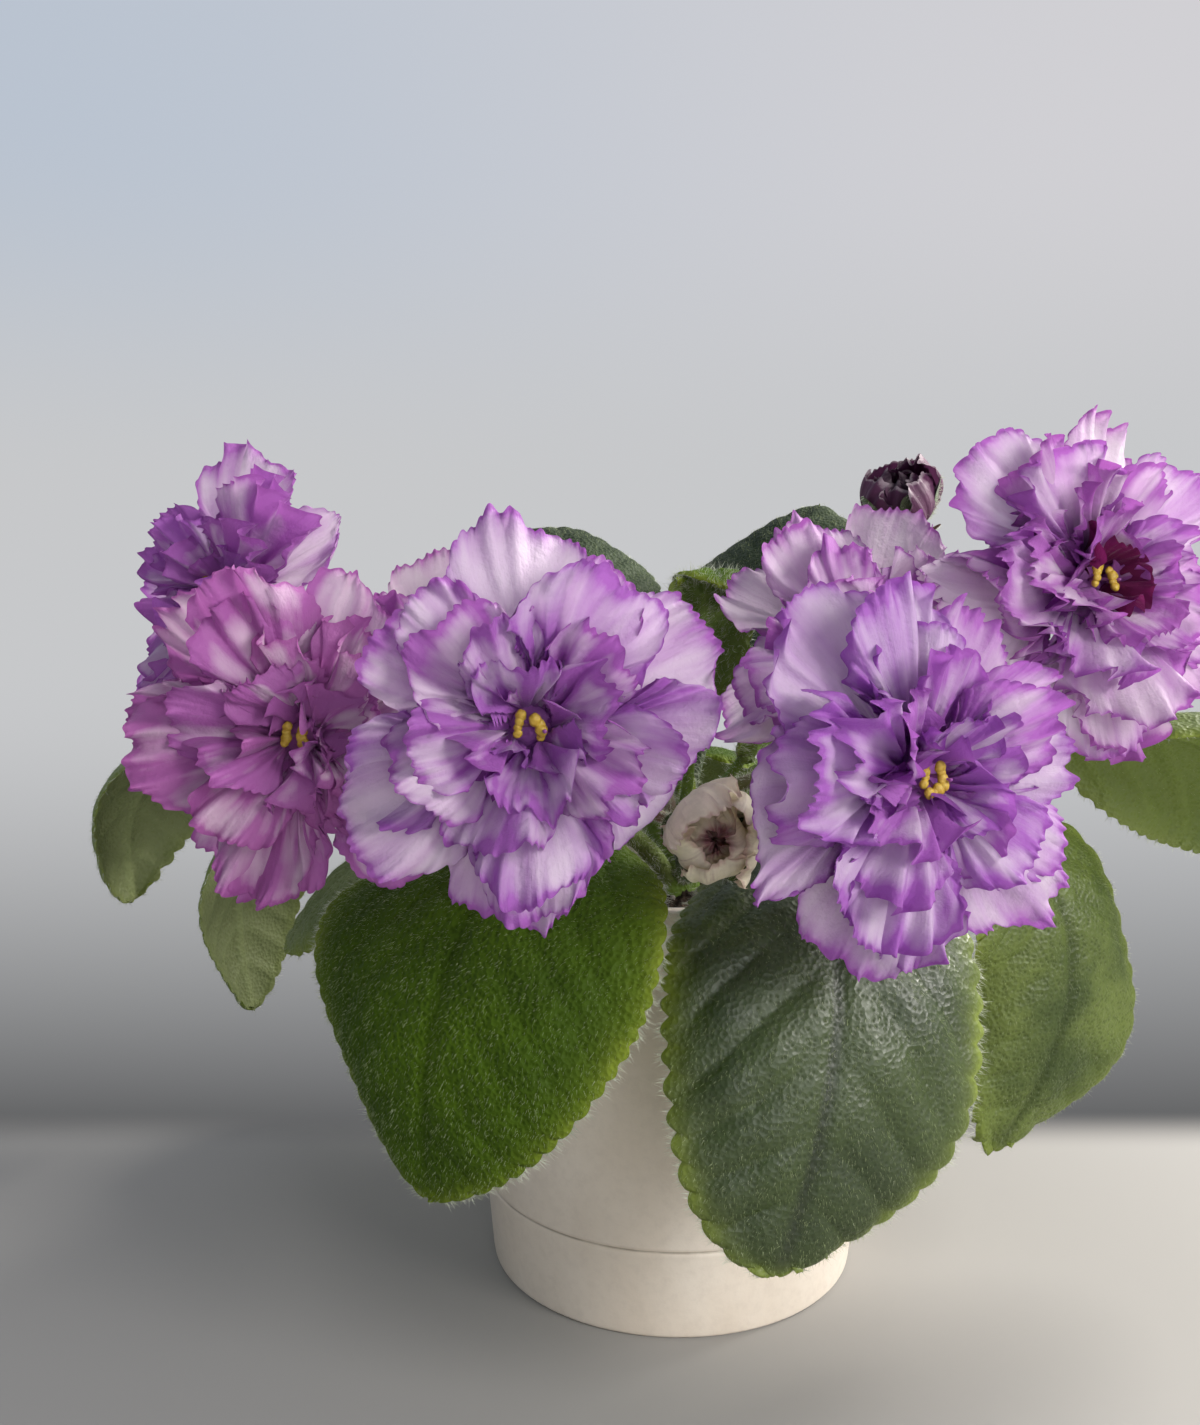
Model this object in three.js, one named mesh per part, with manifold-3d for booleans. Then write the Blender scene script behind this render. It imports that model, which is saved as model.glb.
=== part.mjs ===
// A potted African violet with large, ruffled, double flowers, in millimetres.
// +Z is up, the viewer stands on the -Y side, and the origin is the middle of the pot's foot.
// The pot holds soil, the soil holds a short crown, and the crown carries the leaves and three
// flower stalks.
import * as THREE from "three";
import { mergeVertices } from "three/addons/utils/BufferGeometryUtils.js";
import Module from "manifold-3d";

const wasm = await Module();
wasm.setup();

// ---------------------------------------------------------------- driving dimensions
const GAP = 0.3; // between two pieces that touch

const POT = {
  height: 90,
  footRadius: 40.4,
  rimRadius: 48,
  wall: 3.6,
  floor: 5,
  footChamfer: 1,
  rimRound: 1.3,
  lineHeight: 19, // a fine ring scribed round the wall
  lineDepth: 0.35,
  lineHalf: 0.45,
  segments: 36,
};

const SOIL = { rimDrop: 10, mound: 3, holeDepth: 18, segments: 18 };

const CROWN = { radius: 6.2, top: 101, sides: 8, leaflets: 2, leafletLength: 14, leafletWidth: 9 };

const LEAF = {
  thickness: 0.9,
  keel: 1.3, // how far the rib stands out under the foot of the blade
  stalkRadius: 0.9, // at the crown, and stalkShare of the blade's width is added to it
  stalkShare: 0.02,
  taper: 0.62, // the stalk's radius under the blade, as a share of its radius at the crown
  sunk: 5, // how far the stalk runs on under the blade
  stalkSides: 5,
  stalkSteps: 4,
  toothDepth: 0.05, // as a share of the half width
  toothPitch: 14, // along the blade
};

// How a flower is made, from the outer ring of petals inwards. Lengths are shares of the flower's
// reach. A petal starts at the ring's throat and level, inside the core. lift is the angle between
// it and the flower's face, at its root and at its edge. Each petal leans over the next one of its
// ring by one margin, as much as lean says.
const RINGS = [
  {
    throat: 1.2, level: -0.4, reach: 1.0, lift: [22, -14], spread: 38,
    lean: 0.16, fold: 0.07, frill: 0.06, cup: -0.1, columns: 6, rows: 2,
  },
  {
    throat: 0.8, level: 0.4, reach: 0.85, lift: [42, 12], spread: 40,
    lean: 0.18, fold: 0.09, frill: 0.075, cup: 0.12, columns: 4, rows: 2,
  },
  {
    throat: 1.8, level: 1, reach: 0.56, lift: [70, 38], spread: 44,
    lean: 0.2, fold: 0.1, frill: 0.08, cup: 0.3, columns: 4, rows: 1,
  },
];
const PETAL = { thickness: 0.7, root: 0.03, roundness: 0.26, clearance: 0.75, softness: 6 };
const CORE = { radii: [3, 6.2, 3.4], levels: [-1.5, 0.8, 4.6], sides: 6 };
const STAMEN = { sacs: 4, levels: [0, 1.6, 2.6, 4, 4.9], radii: [1.3, 1, 2.5, 2.7, 1], cleft: 0.28 };
const CALYX = {
  depth: 4, waist: 2.2, sepal: 7.5, sepalBack: 3.2, thickness: 0.9, top: 2.6, sepals: 5,
};
const STALK = { radius: 1.6, pedicel: 1.15, sides: 5, steps: 4 };
const BUD = { petals: 5, points: 3, flute: 0.09, lip: 0.16, twist: 0.35 };

const COLOURS = {
  pot: 0xd9cfc2,
  soil: 0x2e211a,
  leaf: 0x3d5f2a,
  stalk: 0x75803f,
  petal: 0xb58fce,
  bud: 0xcfc6b0,
  darkBud: 0x6b4560,
  stamen: 0xd6b21e,
};

// ---------------------------------------------------------------- what stands where
// Each leaf: the angle and level of its root on the crown, four more points that steer its rib to
// the tip, the length and width of its blade, how far its margins droop, in degrees, how far the
// blade is rolled about its rib, and the shape of its outline: how full it is at its foot and at
// its tip, from 0.3, full, to 1, drawn out.
const oval = [0.45, 0.6];
const LEAVES = {
  front_left: {
    root: [250, 86], guide: [[-11, -25, 108], [-31, -68, 124], [-48, -88, 96], [-45, -78, 49]],
    length: 84, width: 70, cup: 24, roll: 0, outline: [0.62, 0.72],
  },
  front_right: {
    root: [293, 86], guide: [[10, -24, 106], [30, -66, 120], [28, -92, 88], [13, -81, 37]],
    length: 92, width: 58, cup: 26, roll: 0, outline: [0.5, 0.52],
  },
  right_low: {
    root: [336, 86], guide: [[32, -14, 104], [74, -30, 118], [98, -34, 84], [66, -26, 33]],
    length: 82, width: 46, cup: 30, roll: 48, outline: [0.5, 0.6],
  },
  right_far: {
    root: [2, 92], guide: [[45, 2, 118], [95, 0, 134], [148, 2, 120], [156, 10, 76]],
    length: 94, width: 60, cup: 58, roll: -34, outline: oval,
  },
  right_back: {
    root: [24, 98], guide: [[40, 18, 122], [85, 34, 136], [135, 52, 126], [148, 62, 92]],
    length: 92, width: 60, cup: 40, roll: 0, outline: oval,
  },
  back_right_low: {
    root: [47, 86], guide: [[28, 30, 110], [64, 66, 126], [92, 92, 104], [92, 92, 60]],
    length: 92, width: 62, cup: 34, roll: 0, outline: oval,
  },
  back_right_up: {
    root: [63, 98], guide: [[10, 20, 122], [18, 34, 144], [30, 48, 164], [42, 66, 170]],
    length: 66, width: 50, cup: 24, roll: 0, outline: oval,
  },
  back_low: {
    root: [77, 92], guide: [[8, 35, 110], [10, 78, 117], [12, 114, 91], [10, 112, 47]],
    length: 98, width: 66, cup: 34, roll: 0, outline: oval,
  },
  back_up: {
    root: [114, 98], guide: [[-11, 22, 124], [-19, 40, 149], [-25, 58, 167], [-29, 80, 164]],
    length: 66, width: 45, cup: 26, roll: 0, outline: oval,
  },
  back_left: {
    root: [119, 86], guide: [[-18, 32, 116], [-40, 70, 128], [-60, 104, 112], [-64, 108, 68]],
    length: 98, width: 62, cup: 34, roll: 0, outline: oval,
  },
  left_hanging: {
    root: [151, 92], guide: [[-40, 22, 118], [-94, 42, 132], [-125, 54, 88], [-109, 52, 36]],
    length: 80, width: 46, cup: 40, roll: 0, outline: oval,
  },
  left_far: {
    root: [175, 86], guide: [[-45, 4, 112], [-92, 6, 130], [-136, 10, 120], [-126, 14, 76]],
    length: 80, width: 46, cup: 55, roll: 26, outline: oval,
  },
  left_short: {
    root: [210, 92], guide: [[-24, -10, 102], [-48, -18, 109], [-70, -26, 98], [-80, -28, 76]],
    length: 50, width: 38, cup: 26, roll: 0, outline: oval,
  },
  young_front: {
    root: [292, 98], guide: [[4, -14, 118], [4, -4, 150], [8, 2, 160], [9, -16, 150]],
    length: 40, width: 25, cup: 30, roll: 0, outline: oval,
  },
  young_back: {
    root: [350, 98], guide: [[16, -6, 114], [25, -4, 128], [25, -8, 140], [21, -12, 150]],
    length: 40, width: 26, cup: 18, roll: 0, outline: oval,
  },
};

// Each flower: its middle, the way it faces, the reach of its outer petals, the clock angle on its
// face towards which they are longer and by what share, the number of petals in each ring and the
// clock angle at which each ring starts.
const BLOOMS = {
  left_front: {
    at: [-64, -72, 127], facing: [-0.12, -0.98, -0.04], reach: 30, longest: [200, 0.05],
    petals: [6, 5, 4], turn: [8, 40, 15], seed: 28,
  },
  left_back: {
    at: [-82.5, -45, 147.5], facing: [-0.5, -0.8, 0.25], reach: 26, longest: [10, 0.12],
    petals: [5, 4, 3], turn: [20, 50, 10], seed: 29,
  },
  middle_back: {
    at: [-43, -54, 132], facing: [-0.1, -0.85, 0.4], reach: 25, longest: [90, 0.05],
    petals: [5, 4, 3], turn: [30, 60, 20], seed: 17,
  },
  middle: {
    at: [-27, -86, 130], facing: [0.05, -0.99, 0.05], reach: 31, longest: [340, 0.08],
    petals: [6, 5, 4], turn: [28, 55, 10], seed: 12,
  },
  right_front: {
    at: [32.5, -82, 121.5], facing: [0.25, -0.95, 0.1], reach: 31, longest: [180, 0.14],
    petals: [6, 5, 4], turn: [5, 30, 50], seed: 21,
  },
  right_top: {
    at: [68.5, -51, 151], facing: [0.34, -0.93, 0.15], reach: 32, longest: [200, 0.12],
    petals: [6, 5, 4], turn: [15, 45, 5], seed: 50,
  },
  right_back: {
    at: [31, -50, 137], facing: [-0.25, -0.8, 0.5], reach: 28, longest: [60, 0.05],
    petals: [5, 4, 3], turn: [0, 30, 60], seed: 55,
  },
};

// Each bud: the foot of its petals, the way it faces, its length, and the radius of its belly and
// of its mouth.
const BUDS = {
  front: {
    at: [2, -68, 108.5], facing: [0.05, -0.97, 0.15],
    length: 13, belly: 8.2, mouth: 5.2, colour: "bud",
  },
  back: {
    at: [52, 8, 163], facing: [-0.25, -0.35, 0.9],
    length: 15, belly: 8, mouth: 3, colour: "darkBud",
  },
};

// Three stalks rise from the crown. Each forks at a point, and every branch ends at a flower or a
// bud.
const STALKS = {
  left: {
    root: [196, 99], fork: [-50, -34, 112], ends: ["left_front", "left_back", "middle_back"],
  },
  middle: { root: [262, 99], fork: [-9, -50, 110], ends: ["middle", "front"] },
  right: {
    root: [322, 99], fork: [36, -34, 114], ends: ["right_front", "right_top", "right_back", "back"],
  },
};

// Where two neighbours press against each other, a flat wall stands between them. Both keep to
// their own side. The normal points from the first to the second.
const WALLS = [
  { first: "left_front", second: "middle", at: [-48, -77, 128], normal: [0.55, -0.83, 0] },
  { first: "left_back", second: "left_front", at: [-78, -58, 140], normal: [0.3, -0.7, -0.62] },
  { first: "middle_back", second: "left_front", at: [-54, -64, 130], normal: [-0.55, -0.8, -0.2] },
  { first: "middle_back", second: "middle", at: [-36, -71, 131], normal: [0.3, -0.95, 0] },
  { first: "left_back", second: "middle_back", at: [-66, -48, 142], normal: [0.8, -0.2, -0.4] },
  { first: "right_back", second: "right_front", at: [33, -67, 131], normal: [0.1, -0.9, -0.35] },
  { first: "right_back", second: "right_top", at: [47, -52, 142], normal: [0.5, -0.85, 0.2] },
  { first: "right_top", second: "right_front", at: [56, -68, 137], normal: [-0.6, -0.55, -0.6] },
  { first: "middle", second: "right_front", at: [5.5, -86, 126], normal: [1, 0, -0.1] },
  { first: "middle_back", second: "right_back", at: [-8, -54, 134], normal: [1, 0, 0] },
  { first: "middle", second: "front", at: [-9, -86, 111], normal: [0.8, 0, -0.6] },
  { first: "right_front", second: "front", at: [8, -86, 110], normal: [-0.45, 0.9, -0.1] },
  { first: "middle_back", second: "", at: [-24, -60, 120], normal: [0.6, -0.5, -0.6] },
  { first: "middle_back", second: "", at: [-58, -52, 124], normal: [-0.7, 0.1, -0.7] },
  { first: "right_back", second: "", at: [32, -56, 118], normal: [0, -0.3, -1] },
];

// ---------------------------------------------------------------- small tools
const vector = (list) => new THREE.Vector3(...list);
const radians = THREE.MathUtils.degToRad;
const UP = vector([0, 0, 1]);

// The same numbers on every run, from 0 to 1.
function drawer(seed) {
  let state = seed * 2654435761;
  return () => {
    state = (state + 0x6d2b79f5) | 0;
    let mixed = Math.imul(state ^ (state >>> 15), 1 | state);
    mixed = (mixed + Math.imul(mixed ^ (mixed >>> 7), 61 | mixed)) ^ mixed;
    return ((mixed ^ (mixed >>> 14)) >>> 0) / 4294967296;
  };
}

// Shares of a length, from 0 to 1.
const evenly = (steps) => Array.from({ length: steps + 1 }, (_, i) => i / steps);

// A point on the curve that starts and ends at the first and last guide and is drawn towards the rest.
function bezier(guides, t) {
  let points = guides;
  while (points.length > 1)
    points = points.slice(1).map((point, i) => points[i].clone().lerp(point, t));
  return points[0];
}

// The point slid back along the normal of each wall that it comes near, so that it never passes
// one.
function pressed(point, walls) {
  const { clearance, softness } = PETAL;
  for (let pass = 0; pass < 4; pass++)
    for (const { at, normal } of walls) {
      const past = point.clone().sub(at).dot(normal) + clearance;
      if (past > -softness)
        point.addScaledVector(normal, -softness * Math.exp(-past / softness - 1) - past);
    }
  return point;
}

function wallsOf(name) {
  const walls = [];
  for (const wall of WALLS) {
    const normal = vector(wall.normal).normalize();
    if (wall.first === name) walls.push({ at: vector(wall.at), normal });
    if (wall.second === name) walls.push({ at: vector(wall.at), normal: normal.negate() });
  }
  return walls;
}

// ---------------------------------------------------------------- from shapes to solids
function solidOf(geometry) {
  const bare = geometry.clone();
  bare.deleteAttribute("normal");
  bare.deleteAttribute("uv");
  const merged = mergeVertices(bare, 1e-4);
  return new wasm.Manifold(
    new wasm.Mesh({
      numProp: 3,
      vertProperties: merged.attributes.position.array,
      triVerts: new Uint32Array(merged.index.array),
    }),
  );
}

function solidFrom(points, triangles) {
  const mesh = new wasm.Mesh({
    numProp: 3,
    vertProperties: new Float32Array(points.flatMap((point) => point.toArray())),
    triVerts: new Uint32Array(triangles.flat()),
  });
  const solid = new wasm.Manifold(mesh);
  if (solid.volume() > 0) return solid;
  return solidFrom(points, triangles.map(([a, b, c]) => [a, c, b]));
}

// A solid turned about +Z from pairs of radius and height.
function turned(profile, segments) {
  const points = profile.map(([radius, height]) => new THREE.Vector2(radius, height));
  return solidOf(new THREE.LatheGeometry(points, segments).rotateX(Math.PI / 2));
}

function meshOf(name, solid, colour, roughness) {
  const made = solid.getMesh();
  const geometry = new THREE.BufferGeometry()
    .setAttribute("position", new THREE.BufferAttribute(made.vertProperties.slice(), 3))
    .setIndex(new THREE.BufferAttribute(made.triVerts.slice(), 1));
  geometry.computeVertexNormals();
  const material = new THREE.MeshStandardMaterial({ color: colour, roughness, metalness: 0 });
  const mesh = new THREE.Mesh(geometry, material);
  mesh.name = name;
  return mesh;
}

// The pieces joined into one body: a hollow that they seal is filled, and a loose scrap is dropped.
function united(solids) {
  const bodies = wasm.Manifold.union(solids).decompose();
  return bodies.reduce((most, body) => (body.volume() > most.volume() ? body : most));
}

// Triangles between two rows of points, the one of n from number a on and the other of m from number b on.
function between(a, n, b, m) {
  const triangles = [];
  let i = 0;
  let j = 0;
  while (i < n - 1 || j < m - 1) {
    const stepFirst = j === m - 1 || (i < n - 1 && (i + 0.5) / (n - 1) <= (j + 0.5) / (m - 1));
    triangles.push(stepFirst ? [a + i, b + j, a + i + 1] : [a + i, b + j, b + j + 1]);
    if (stepFirst) i++;
    else j++;
  }
  return triangles;
}

// A thin blade: rows of points down its middle, thickened both ways and closed round its edge. Its
// back stands out further along the middle column, by keel at the foot and by nothing at the tip.
function blade(rows, thickness, keel = 0) {
  const last = rows.length - 1;
  const near = (i, share) => rows[i][Math.round(share * (rows[i].length - 1))];
  const front = [];
  const back = [];
  const starts = [];
  rows.forEach((row, i) => {
    starts.push(front.length);
    row.forEach((point, j) => {
      const share = j / (row.length - 1);
      const along = near(Math.min(i + 1, last), share).clone().sub(near(Math.max(i - 1, 0), share));
      const across = row[Math.min(j + 1, row.length - 1)].clone().sub(row[Math.max(j - 1, 0)]);
      const normal = along.cross(across).normalize();
      const rib = share === 0.5 ? keel * (1 - i / last) : 0;
      front.push(point.clone().addScaledVector(normal, -thickness / 2));
      back.push(point.clone().addScaledVector(normal, thickness / 2 + rib));
    });
  });
  const offset = front.length;
  const triangles = [];
  for (let i = 0; i < last; i++)
    for (const [a, b, c] of between(starts[i], rows[i].length, starts[i + 1], rows[i + 1].length))
      triangles.push([a, b, c], [a + offset, c + offset, b + offset]);
  const ends = rows.map((row, i) => starts[i] + row.length - 1);
  const foot = rows[0].map((_, j) => j);
  const tip = rows[last].map((_, j) => starts[last] + j);
  const edge = [...foot, ...ends.slice(1), ...tip.reverse().slice(1), ...starts.slice(1, last).reverse()];
  edge.forEach((a, k) => {
    const b = edge[(k + 1) % edge.length];
    triangles.push([a, b, b + offset], [a, b + offset, a + offset]);
  });
  return solidFrom([...front, ...back], triangles);
}

// A closed skin over rings of points, with flat ends. Neighbouring rings may differ in their number
// of points.
function loft(rings) {
  const starts = rings.map((_, i) => rings.slice(0, i).flat().length);
  const triangles = [];
  for (let i = 0; i + 1 < rings.length; i++) {
    const n = rings[i].length;
    const m = rings[i + 1].length;
    const number = (k) => (k <= n ? starts[i] + (k % n) : starts[i + 1] + ((k - n - 1) % m));
    triangles.push(...between(0, n + 1, n + 1, m + 1).map((corners) => corners.map(number)));
  }
  const first = rings[0].length;
  const last = starts.at(-1);
  for (let k = 1; k + 1 < first; k++) triangles.push([0, k, k + 1]);
  for (let k = 1; k + 1 < rings.at(-1).length; k++) triangles.push([last, last + k + 1, last + k]);
  return solidFrom(rings.flat(), triangles);
}

// A ring of points round a place, between two directions. Its radius may change with the angle.
function ringOf(centre, side, other, sides, radiusAt) {
  return Array.from({ length: sides }, (_, k) => {
    const angle = (2 * Math.PI * k) / sides;
    const radius = radiusAt(k, angle);
    return centre
      .clone()
      .addScaledVector(side, radius * Math.cos(angle))
      .addScaledVector(other, radius * Math.sin(angle));
  });
}

// A round stem through the points, as thick at each as its radius says.
function stem(points, radii, sides) {
  const rings = points.map((point, i) => {
    const next = points[Math.min(i + 1, points.length - 1)];
    const previous = points[Math.max(i - 1, 0)];
    const along = next.clone().sub(previous).normalize();
    const side = vector([0.31, 0.17, 0.93]).cross(along).normalize();
    return ringOf(point, side, along.clone().cross(side), sides, () => radii[i]);
  });
  return loft(rings);
}

// ---------------------------------------------------------------- pot, soil and crown
const wallRadius = (height) =>
  POT.footRadius + ((POT.rimRadius - POT.footRadius) * height) / POT.height;
const soilTop = POT.height - SOIL.rimDrop;

function makePot() {
  const { height, wall, floor, footChamfer, rimRound, lineHeight, lineDepth, lineHalf } = POT;
  const line = wallRadius(lineHeight);
  const inner = (z) => wallRadius(z) - wall;
  const profile = [
    [0, 0],
    [POT.footRadius - footChamfer, 0],
    [wallRadius(footChamfer), footChamfer],
    [line, lineHeight - lineHalf],
    [line - lineDepth, lineHeight],
    [line, lineHeight + lineHalf],
    [wallRadius(height - rimRound), height - rimRound],
    [wallRadius(height) - rimRound, height],
    [inner(height) + rimRound, height],
    [inner(height - rimRound), height - rimRound],
    [inner(floor), floor],
    [0, floor],
  ];
  return turned(profile, POT.segments);
}

function makeSoil() {
  const inner = (z) => wallRadius(z) - POT.wall - GAP;
  const bottom = POT.floor + GAP;
  const hole = CROWN.radius + GAP;
  const profile = [
    [0, bottom],
    [inner(bottom), bottom],
    [inner(soilTop), soilTop],
    [inner(soilTop) * 0.7, soilTop + SOIL.mound * 0.5],
    [hole, soilTop + SOIL.mound],
    [hole, soilTop - SOIL.holeDepth],
    [0, soilTop - SOIL.holeDepth],
  ];
  return turned(profile, SOIL.segments);
}

function makeCrown() {
  const bottom = soilTop - SOIL.holeDepth + GAP;
  const { radius, top } = CROWN;
  const profile = [
    [0, bottom],
    [radius * 0.7, bottom],
    [radius, bottom + 4],
    [radius, top - 3],
    [radius * 0.7, top],
    [0, top + 1.5],
  ];
  const pieces = [turned(profile, CROWN.sides)];
  for (let k = 0; k < CROWN.leaflets; k++) {
    const angle = (2 * Math.PI * (k + 0.3)) / CROWN.leaflets;
    const out = vector([Math.cos(angle), Math.sin(angle), 0]);
    const side = vector([-out.y, out.x, 0]);
    const length = CROWN.leafletLength * (1 - 0.12 * k);
    const grid = evenly(2).map((t) =>
      [-1, 0, 1].map((u) => {
        const half = (CROWN.leafletWidth / 2) * Math.sin(Math.PI * (0.12 + 0.8 * t));
        return vector([0, 0, top - 2 + length * t * (1 - 0.18 * t)])
          .addScaledVector(out, 2 + length * 0.25 * t * t - 1.4 * Math.abs(u) * t)
          .addScaledVector(side, half * u);
      }),
    );
    pieces.push(blade(grid, LEAF.thickness));
  }
  return united(pieces);
}

// What grows from the crown starts inside it and is cut back to its face, all but the gap.
function cutBack(solid) {
  const face = (CROWN.radius + GAP) / Math.cos(Math.PI / CROWN.sides);
  const profile = [[0, 0], [face, 0], [face, POT.height * 2], [0, POT.height * 2]];
  return solid.subtract(turned(profile, CROWN.sides));
}

function rootOf([angle, level]) {
  const out = vector([Math.cos(radians(angle)), Math.sin(radians(angle)), 0]);
  return out.multiplyScalar(CROWN.radius * 0.8).setZ(level);
}

// ---------------------------------------------------------------- leaves
// Places along the rib, evenly spaced by length. Each is a point with its directions aside and off
// the face.
function ribPlaces(leaf, distancesOf) {
  const guides = [rootOf(leaf.root), ...leaf.guide.map(vector)];
  const fine = evenly(200).map((t) => bezier(guides, t));
  const lengths = [0];
  for (let i = 1; i < fine.length; i++)
    lengths.push(lengths[i - 1] + fine[i].distanceTo(fine[i - 1]));
  const total = lengths.at(-1);
  const start = total - leaf.length;
  const level = fine.at(-1).clone().sub(fine[0]).setZ(0).normalize().cross(UP);
  return distancesOf(start, total).map((distance) => {
    const found = lengths.findIndex((length) => length >= Math.min(distance, total) - 1e-6);
    const i = Math.max(found, 1);
    const share = (Math.min(distance, total) - lengths[i - 1]) / (lengths[i] - lengths[i - 1]);
    const along = fine[i].clone().sub(fine[i - 1]).normalize();
    const side = level.clone().addScaledVector(along, -level.dot(along)).normalize();
    const rolled = THREE.MathUtils.smoothstep(distance, start * 0.6, start + leaf.length * 0.45);
    side.applyAxisAngle(along, radians(leaf.roll) * rolled);
    const point = fine[i - 1].clone().lerp(fine[i], share);
    return { point, side, off: side.clone().cross(along) };
  });
}

// The half width of a blade at t, from its foot to its tip. Its margin has rounded teeth.
function halfWidth(leaf, t, tooth) {
  const [foot, tip] = leaf.outline;
  const widest = foot / (foot + tip);
  const most = widest ** foot * (1 - widest) ** tip;
  const inside = THREE.MathUtils.clamp(t, 0.012, 0.988);
  const plain = ((leaf.width / 2) * inside ** foot * (1 - inside) ** tip) / most;
  return plain * (1 + tooth * LEAF.toothDepth);
}

function makeLeaf(leaf) {
  const shares = evenly(2 * Math.round(leaf.length / LEAF.toothPitch));
  const bend = radians(leaf.cup);
  const places = ribPlaces(leaf, (start) => shares.map((t) => start + leaf.length * t));
  const grid = places.map(({ point, side, off }, i) => {
    const half = halfWidth(leaf, shares[i], i % 2 ? 1 : -1);
    return [-1, -0.5, 0, 0.5, 1].map((u) => {
      const droop = bend * Math.abs(u) + 1e-6;
      return point
        .clone()
        .addScaledVector(side, (half * u * Math.sin(droop)) / droop)
        .addScaledVector(off, (-half * Math.abs(u) * (1 - Math.cos(droop))) / droop);
    });
  });
  const steps = evenly(LEAF.stalkSteps);
  const stalk = ribPlaces(leaf, (start) => steps.map((t) => (start + LEAF.sunk) * t));
  const thick = LEAF.stalkRadius + LEAF.stalkShare * leaf.width;
  const radii = steps.map((t) => THREE.MathUtils.lerp(thick, thick * LEAF.taper, t));
  const centres = stalk.map(({ point, off }, i) =>
    point.clone().addScaledVector(off, -radii[i] * steps[i] ** 2),
  );
  const pieces = [blade(grid, LEAF.thickness, LEAF.keel), stem(centres, radii, LEAF.stalkSides)];
  return cutBack(united(pieces));
}

// ---------------------------------------------------------------- flowers
// A flower's own directions: right, top and out of its face.
function faceOf(facing) {
  const out = vector(facing).normalize();
  const right = UP.clone().cross(out).normalize();
  return { out, right, top: out.clone().cross(right) };
}

// One petal's own draw, so that no two are alike.
function petalOf(ring, clock, bloom, draw) {
  const [longest, share] = bloom.longest;
  const reach = bloom.reach * (1 + share * Math.cos(radians(clock - longest)));
  return {
    throat: ring.throat,
    level: ring.level,
    lean: ring.lean,
    clock: radians(clock + 14 * (draw() - 0.5)),
    length: reach * ring.reach * (0.92 + 0.16 * draw()),
    lift: ring.lift.map((lift) => radians(lift + 16 * (draw() - 0.5))),
    spread: radians(ring.spread * (0.92 + 0.2 * draw())),
    fold: ring.fold * reach * (0.7 + 0.6 * draw()),
    frill: ring.frill * reach * (0.8 + 0.4 * draw()),
    cup: ring.cup + 0.15 * (draw() - 0.5),
    phase: [6.3 * draw(), 6.3 * draw(), 6.3 * draw()],
  };
}

// A point of a petal, u from margin to margin and v from root to edge: a fan, bent up from the
// flower's face, cupped, folded in broad waves and frilled towards its edge.
function petalPoint(petal, u, v) {
  const angle = u * petal.spread * (0.5 + 0.5 * v);
  const from = v * petal.length * (1 - PETAL.roundness * u * u * v);
  const aside = from * Math.sin(angle);
  const ahead = from * Math.cos(angle);
  const [low, high] = petal.lift;
  const bend = ((high - low) * ahead) / petal.length + 1e-5;
  const lift = low + bend;
  const [p, q, r] = petal.phase;
  const off =
    petal.lean * aside +
    (petal.cup * aside * aside) / petal.length +
    petal.fold * v * v * Math.sin(2.6 * u + p) +
    petal.frill * v ** 3 * Math.sin(7.5 * u + q + Math.sin(3 * u + r));
  return {
    aside,
    out: (ahead * (Math.sin(lift) - Math.sin(low))) / bend - off * Math.sin(lift) + petal.throat,
    up: (ahead * (Math.cos(low) - Math.cos(lift))) / bend + off * Math.cos(lift) + petal.level,
  };
}

function placed(face, at, clock, { aside, out, up }) {
  return vector(at)
    .addScaledVector(face.right, out * Math.cos(clock) - aside * Math.sin(clock))
    .addScaledVector(face.top, out * Math.sin(clock) + aside * Math.cos(clock))
    .addScaledVector(face.out, up);
}

// A petal's root is narrow and plain, and its outer rows have the columns that its waves need.
function petalSolid(petal, ring, face, at, walls) {
  const grid = evenly(ring.rows).map((t) => {
    const v = THREE.MathUtils.lerp(PETAL.root, 1, t);
    return evenly(t ? ring.columns : 1).map((s) => {
      const point = placed(face, at, petal.clock, petalPoint(petal, 2 * s - 1, v));
      return pressed(point, walls);
    });
  });
  return blade(grid, PETAL.thickness);
}

function makeBloom(name, bloom) {
  const draw = drawer(bloom.seed);
  const face = faceOf(bloom.facing);
  const walls = wallsOf(name);
  const levels = CORE.levels.map((level) => vector(bloom.at).addScaledVector(face.out, level));
  const pieces = [stem(levels, CORE.radii, CORE.sides)];
  RINGS.forEach((ring, k) => {
    for (let n = 0; n < bloom.petals[k]; n++) {
      const clock = bloom.turn[k] + (360 * n) / bloom.petals[k];
      pieces.push(petalSolid(petalOf(ring, clock, bloom, draw), ring, face, bloom.at, walls));
    }
  });
  return united(pieces);
}

// Pollen sacs round the top of a short column.
function makeStamens(bloom) {
  const face = faceOf(bloom.facing);
  const foot = CORE.levels.at(-1) + GAP;
  const rings = STAMEN.levels.map((level, i) =>
    ringOf(
      vector(bloom.at).addScaledVector(face.out, foot + level),
      face.right,
      face.top,
      2 * STAMEN.sacs,
      (k) => STAMEN.radii[i] * (1 - (i > 1 && k % 2 ? STAMEN.cleft : 0)),
    ),
  );
  return loft(rings);
}

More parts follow.
